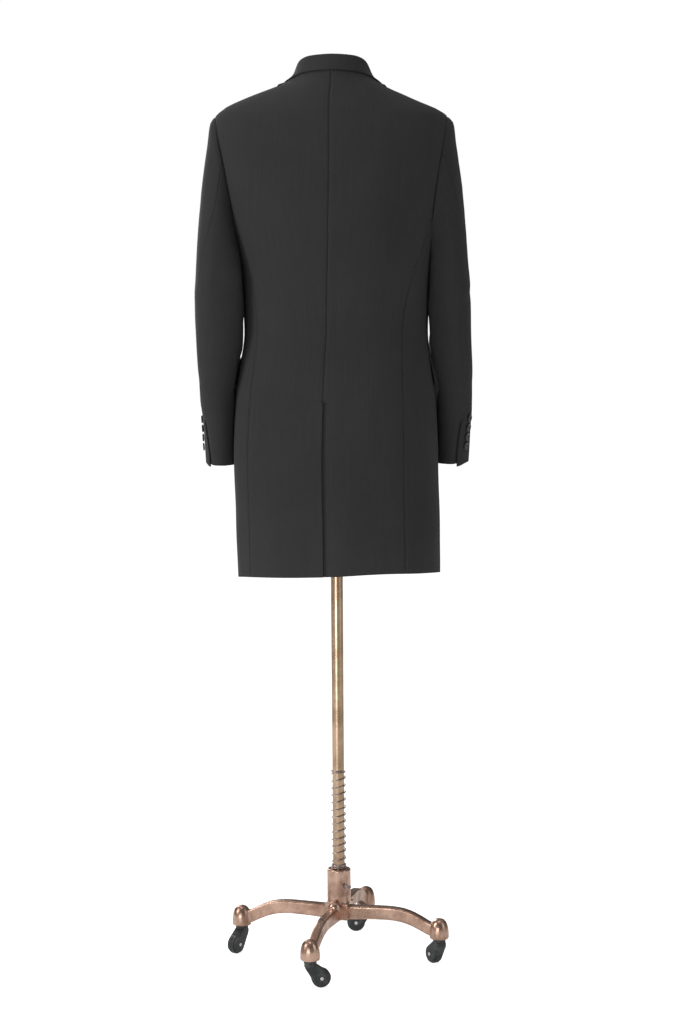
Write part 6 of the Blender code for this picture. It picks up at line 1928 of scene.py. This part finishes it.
def make_caster(name):
    """One caster: a hood with a slot for the wheel, a swivel collar, the wheel and its capped axle."""
    place = caster_place(name)
    hood = bmesh.new()
    outline = hood_outline()
    loft_into(hood, [[(p.x, y, p.y) for p in outline] for y in (-0.0100, 0.0100)])
    bmesh.ops.recalc_face_normals(hood, faces=hood.faces)
    edges = [edge for edge in hood.edges if abs(edge.verts[0].co.y - edge.verts[1].co.y) < 1e-6]
    bmesh.ops.bevel(hood, geom=edges, offset=0.0022, segments=4, profile=0.5, affect="EDGES", clamp_overlap=True)
    holder = holder_of(hood, f"hood_{name}")
    collar = turned_mesh(((0.0, 0.0440), (0.0095, 0.0445), (0.0120, 0.0466), (0.0120, 0.0509), (0.0114, 0.0515), (0.0, 0.0515)), 48)
    slot = turned_mesh(((0.0, -0.0062), (0.0187, -0.0062), (0.0187, 0.0062), (0.0, 0.0062)), 64)
    slot.transform(axle_place())
    hole = turned_mesh(((0.0, -0.02), (0.0030, -0.02), (0.0030, 0.02), (0.0, 0.02)), 24)
    hole.transform(axle_place())
    helpers = []
    for work, operation in ((collar, "UNION"), (slot, "DIFFERENCE"), (hole, "DIFFERENCE")):
        helper = holder_of(work, f"{operation.lower()}_{name}_{len(helpers)}")
        step = holder.modifiers.new(operation.lower(), "BOOLEAN")
        step.object = helper
        step.operation = operation
        step.solver = "EXACT"
        helpers.append(helper)
    mesh = finished_mesh(holder)
    for helper in helpers:
        bpy.data.objects.remove(helper)
    mesh.transform(place)
    mesh.shade_smooth()
    mesh.set_sharp_from_angle(angle=math.radians(30.0))
    mesh.name = f"caster_hood_{name}_moulded"
    add_piece(mesh.name, mesh, ["caster"], f"caster_{name}", [f"caster_hood_{name}"])

    ends = ((0.0, -0.0121), (0.0018, -0.0119), (0.0030, -0.0112), (0.0033, -0.0103), (0.0027, -0.0101), (0.0027, 0.0101), (0.0033, 0.0103), (0.0030, 0.0112), (0.0018, 0.0119), (0.0, 0.0121))
    kept(turned_mesh(ends, 28), f"caster_axle_{name}_capped", place @ axle_place(), ["axle"], f"caster_{name}", [f"caster_axle_{name}"])

    edge = 0.0011
    half = 0.0056
    rim = [
        (0.0031, -half), (0.0062, -half), (0.0066, -half + 0.0006), (0.0148, -half + 0.0009), (0.0154, -half), (WHEEL_RADIUS - edge, -half),
        (WHEEL_RADIUS - 0.3 * edge, -half + 0.3 * edge), (WHEEL_RADIUS, -half + edge), (WHEEL_RADIUS, -0.0006), (WHEEL_RADIUS - 0.0004, 0.0),
    ]
    rim += [(radius, -height) for radius, height in reversed(rim[:-1])]
    wheel = bmesh.new()
    around = 72
    rings = [[wheel.verts.new((radius * math.cos(2 * math.pi * k / around), radius * math.sin(2 * math.pi * k / around), height)) for k in range(around)] for radius, height in rim]
    for j in range(len(rings)):
        low, high = rings[j], rings[(j + 1) % len(rings)]
        for k in range(around):
            after = (k + 1) % around
            wheel.faces.new([low[k], low[after], high[after], high[k]])
    bmesh.ops.recalc_face_normals(wheel, faces=wheel.faces)
    kept(wheel, f"caster_wheel_{name}_moulded", place @ axle_place(), ["caster"], f"wheel_{name}", [f"caster_wheel_{name}"])


# Stitches


def stitch_tree():
    """Lays short bars of thread along the points of a line mesh."""
    tree = bpy.data.node_groups.new("laid_stitches", "GeometryNodeTree")
    tree.interface.new_socket(name="Path", in_out="INPUT", socket_type="NodeSocketGeometry")
    for label, value in (("Pitch", 0.0030), ("Stitch Length", 0.0021), ("Thread Radius", 0.00028)):
        socket = tree.interface.new_socket(name=label, in_out="INPUT", socket_type="NodeSocketFloat")
        socket.default_value = value
    tree.interface.new_socket(name="Finish", in_out="INPUT", socket_type="NodeSocketMaterial")
    tree.interface.new_socket(name="Geometry", in_out="OUTPUT", socket_type="NodeSocketGeometry")
    nodes, links = tree.nodes, tree.links
    given, result = nodes.new("NodeGroupInput"), nodes.new("NodeGroupOutput")
    curve = nodes.new("GeometryNodeMeshToCurve")
    links.new(given.outputs["Path"], curve.inputs["Mesh"])
    points = nodes.new("GeometryNodeCurveToPoints")
    points.mode = "LENGTH"
    links.new(curve.outputs["Curve"], points.inputs["Curve"])
    links.new(given.outputs["Pitch"], points.inputs["Length"])
    bar = nodes.new("GeometryNodeMeshCylinder")
    bar.inputs["Vertices"].default_value = 6
    links.new(given.outputs["Thread Radius"], bar.inputs["Radius"])
    links.new(given.outputs["Stitch Length"], bar.inputs["Depth"])
    place = nodes.new("GeometryNodeInstanceOnPoints")
    links.new(points.outputs["Points"], place.inputs["Points"])
    links.new(bar.outputs["Mesh"], place.inputs["Instance"])
    links.new(points.outputs["Rotation"], place.inputs["Rotation"])
    real = nodes.new("GeometryNodeRealizeInstances")
    links.new(place.outputs["Instances"], real.inputs["Geometry"])
    coloured = nodes.new("GeometryNodeSetMaterial")
    links.new(real.outputs["Geometry"], coloured.inputs["Geometry"])
    links.new(given.outputs["Finish"], coloured.inputs["Material"])
    links.new(coloured.outputs["Geometry"], result.inputs["Geometry"])
    return tree


def stitched_line(name, tree, lines, values):
    """Stitches along one or more lines of points."""
    vertices, edges = [], []
    for line in lines:
        start = len(vertices)
        vertices += [tuple(point) for point in line]
        edges += [(start + k, start + k + 1) for k in range(len(line) - 1)]
    path = bpy.data.meshes.new(f"{name}_path")
    path.from_pydata(vertices, edges, [])
    return grown_piece(name, tree, {"Finish": FINISHES["thread"], **values}, BODY, source=path)


def make_stitches():
    tree = stitch_tree()
    x = np.linspace(0.0015, 0.061, 40)
    z = 1.0705 - 0.018 * x / 0.062
    slant, _ = placed(np.stack([x, y_on_torso(x, z, True), z], axis=1), -0.0004)
    bar_x = np.array([0.0010, 0.0062])
    bar_z = np.array([1.0712, 1.0712])
    bar, _ = placed(np.stack([bar_x, y_on_torso(bar_x, bar_z, True), bar_z], axis=1), 0.0006)
    stitched_line("vent_stitches", tree, [slant], {"Pitch": 0.0032, "Stitch Length": 0.0022, "Thread Radius": 0.00026})
    stitched_line("vent_bar_tack", tree, [resampled(bar, np.linspace(0.0, 1.0, 3))], {"Pitch": 0.0013, "Stitch Length": 0.0012, "Thread Radius": 0.0004})


# Light, floor and camera

WORLD_LIGHT = 0.30
WORLD_SHADES = ((0.0, 0.55), (0.38, 0.20), (0.52, 0.62), (0.70, 0.30), (1.0, 1.0))
FLOOR_REACH = 40.0
FLOOR_GLOW = 0.18
FLOOR_GLOW_SEEN = 0.88
# Name, place, what it points at, width and height, power
LIGHTS = (
    ("key", (3.75, 1.4, 2.6), (0.0, 0.0, 1.2), (1.4, 2.6), 68.0),
    ("fill", (-3.0, 1.6, 1.6), (0.0, 0.0, 1.1), (1.0, 2.6), 12.0),
    ("top", (0.3, 0.2, 3.9), (0.0, 0.0, 1.2), (2.0, 1.2), 26.0),
    ("low", (1.2, 2.8, 0.3), (0.0, 0.0, 0.7), (1.6, 0.5), 12.0),
    ("front", (1.6, -3.2, 2.2), (0.0, 0.0, 1.1), (1.6, 2.4), 40.0),
)


def area_light(name, location, target, size, energy, colour=(1.0, 1.0, 1.0)):
    data = bpy.data.lights.new(name, "AREA")
    data.shape = "RECTANGLE"
    data.size, data.size_y = size
    data.energy = energy
    data.color = colour
    lamp = bpy.data.objects.new(name, data)
    bpy.context.scene.collection.objects.link(lamp)
    lamp.location = location
    lamp.rotation_euler = (Vector(target) - Vector(location)).to_track_quat("-Z", "Y").to_euler()
    return lamp


def studio_world():
    """White behind the object; for everything else, soft light that is strongest from above."""
    world = bpy.data.worlds.new("studio")
    bpy.context.scene.world = world
    world.use_nodes = True
    tree = world.node_tree
    seen = tree.nodes["Background"]
    seen.inputs["Color"].default_value = (1.0, 1.0, 1.0, 1.0)
    seen.inputs["Strength"].default_value = 1.0
    around = tree.nodes.new("ShaderNodeBackground")
    around.inputs["Strength"].default_value = WORLD_LIGHT
    direction = node(tree, "TexCoord")
    axes = node(tree, "SeparateXYZ")
    tree.links.new(direction.outputs["Generated"], axes.inputs[0])
    height = node(tree, "MapRange")
    height.inputs["From Min"].default_value = -0.6
    height.inputs["From Max"].default_value = 0.9
    tree.links.new(axes.outputs["Z"], height.inputs["Value"])
    shades = node(tree, "ValToRGB")
    ramp_stops = shades.color_ramp
    for place, grey in WORLD_SHADES[1:-1]:
        ramp_stops.elements.new(place)
    for stop, (place, grey) in zip(ramp_stops.elements, WORLD_SHADES):
        stop.position = place
        stop.color = (grey, grey, grey, 1.0)
    tree.links.new(height.outputs["Result"], shades.inputs["Fac"])
    tree.links.new(shades.outputs["Color"], around.inputs["Color"])
    ray = node(tree, "LightPath")
    choice = node(tree, "MixShader")
    tree.links.new(ray.outputs["Is Camera Ray"], choice.inputs[0])
    tree.links.new(around.outputs[0], choice.inputs[1])
    tree.links.new(seen.outputs[0], choice.inputs[2])
    tree.links.new(choice.outputs[0], tree.nodes["World Output"].inputs["Surface"])


def make_floor():
    """A plain pale floor that glows a little, so that it meets the white background without an edge."""
    reach = FLOOR_REACH
    corners = [(-reach, -reach, 0.0), (reach, -reach, 0.0), (reach, reach, 0.0), (-reach, reach, 0.0)]
    mesh = bpy.data.meshes.new("studio_floor")
    mesh.from_pydata(corners, [], [(0, 1, 2, 3)])
    floor = bpy.data.objects.new("studio_floor", mesh)
    floor.location = (0.0, 0.0, -0.0005)
    bpy.context.scene.collection.objects.link(floor)
    pale = bpy.data.materials.new("pale_floor")
    pale.use_nodes = True
    tree = pale.node_tree
    shader = tree.nodes["Principled BSDF"]
    shader.inputs["Base Color"].default_value = (0.85, 0.85, 0.85, 1.0)
    shader.inputs["Roughness"].default_value = 0.9
    shader.inputs["Specular IOR Level"].default_value = 0.0
    shader.inputs["Emission Color"].default_value = (1.0, 1.0, 1.0, 1.0)
    ray = node(tree, "LightPath")
    glow = node(tree, "MapRange")
    glow.inputs["To Min"].default_value = FLOOR_GLOW
    glow.inputs["To Max"].default_value = FLOOR_GLOW_SEEN
    tree.links.new(ray.outputs["Is Camera Ray"], glow.inputs["Value"])
    tree.links.new(glow.outputs["Result"], shader.inputs["Emission Strength"])
    mesh.materials.append(pale)


def make_studio():
    studio_world()
    make_floor()
    for name, place, target, size, power in LIGHTS:
        area_light(name, place, target, size, power)


def make_camera():
    data = bpy.data.cameras.new("photo_camera")
    data.sensor_fit = "VERTICAL"
    data.sensor_height = 36.0
    data.lens = 74.53
    data.clip_end = 100.0
    camera = bpy.data.objects.new("photo_camera", data)
    bpy.context.scene.collection.objects.link(camera)
    pitch, roll = math.radians(4.5), math.radians(0.39)
    forward = Vector((0.0, -math.cos(pitch), -math.sin(pitch)))
    right = Vector((-1.0, 0.0, 0.0))
    up = right.cross(forward)
    turn = Matrix((right, up, -forward)).transposed()
    turn = turn @ Matrix.Rotation(-roll, 3, "Z")
    camera.matrix_world = Matrix.Translation((-0.0096, 4.0, 1.175)) @ turn.to_4x4()
    bpy.context.scene.camera = camera


def main():
    make_camera()
    make_studio()
    for side_name in SIDES:
        make_back(side_name)
        make_side_body(side_name)
        make_front(side_name)
        make_lapel(side_name)
        make_flap(side_name)
        make_sleeve(side_name)
    make_collar()
    make_buttons()
    make_form()
    make_pole()
    make_hub()
    make_spring()
    make_lock_screw()
    for number, name in enumerate(LEG_NAMES):
        make_leg(f"leg_{name}", BASE_TURN_DEG + 90.0 * number, name == "back")
        make_caster(name)
    make_stitches()


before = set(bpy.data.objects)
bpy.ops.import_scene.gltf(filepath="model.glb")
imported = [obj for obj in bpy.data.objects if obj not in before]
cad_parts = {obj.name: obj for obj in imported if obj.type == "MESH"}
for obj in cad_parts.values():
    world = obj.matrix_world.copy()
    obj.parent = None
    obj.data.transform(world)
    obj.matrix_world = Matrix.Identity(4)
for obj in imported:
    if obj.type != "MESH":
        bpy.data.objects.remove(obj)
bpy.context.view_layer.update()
bpy.context.scene.view_settings.view_transform = "Standard"
main()
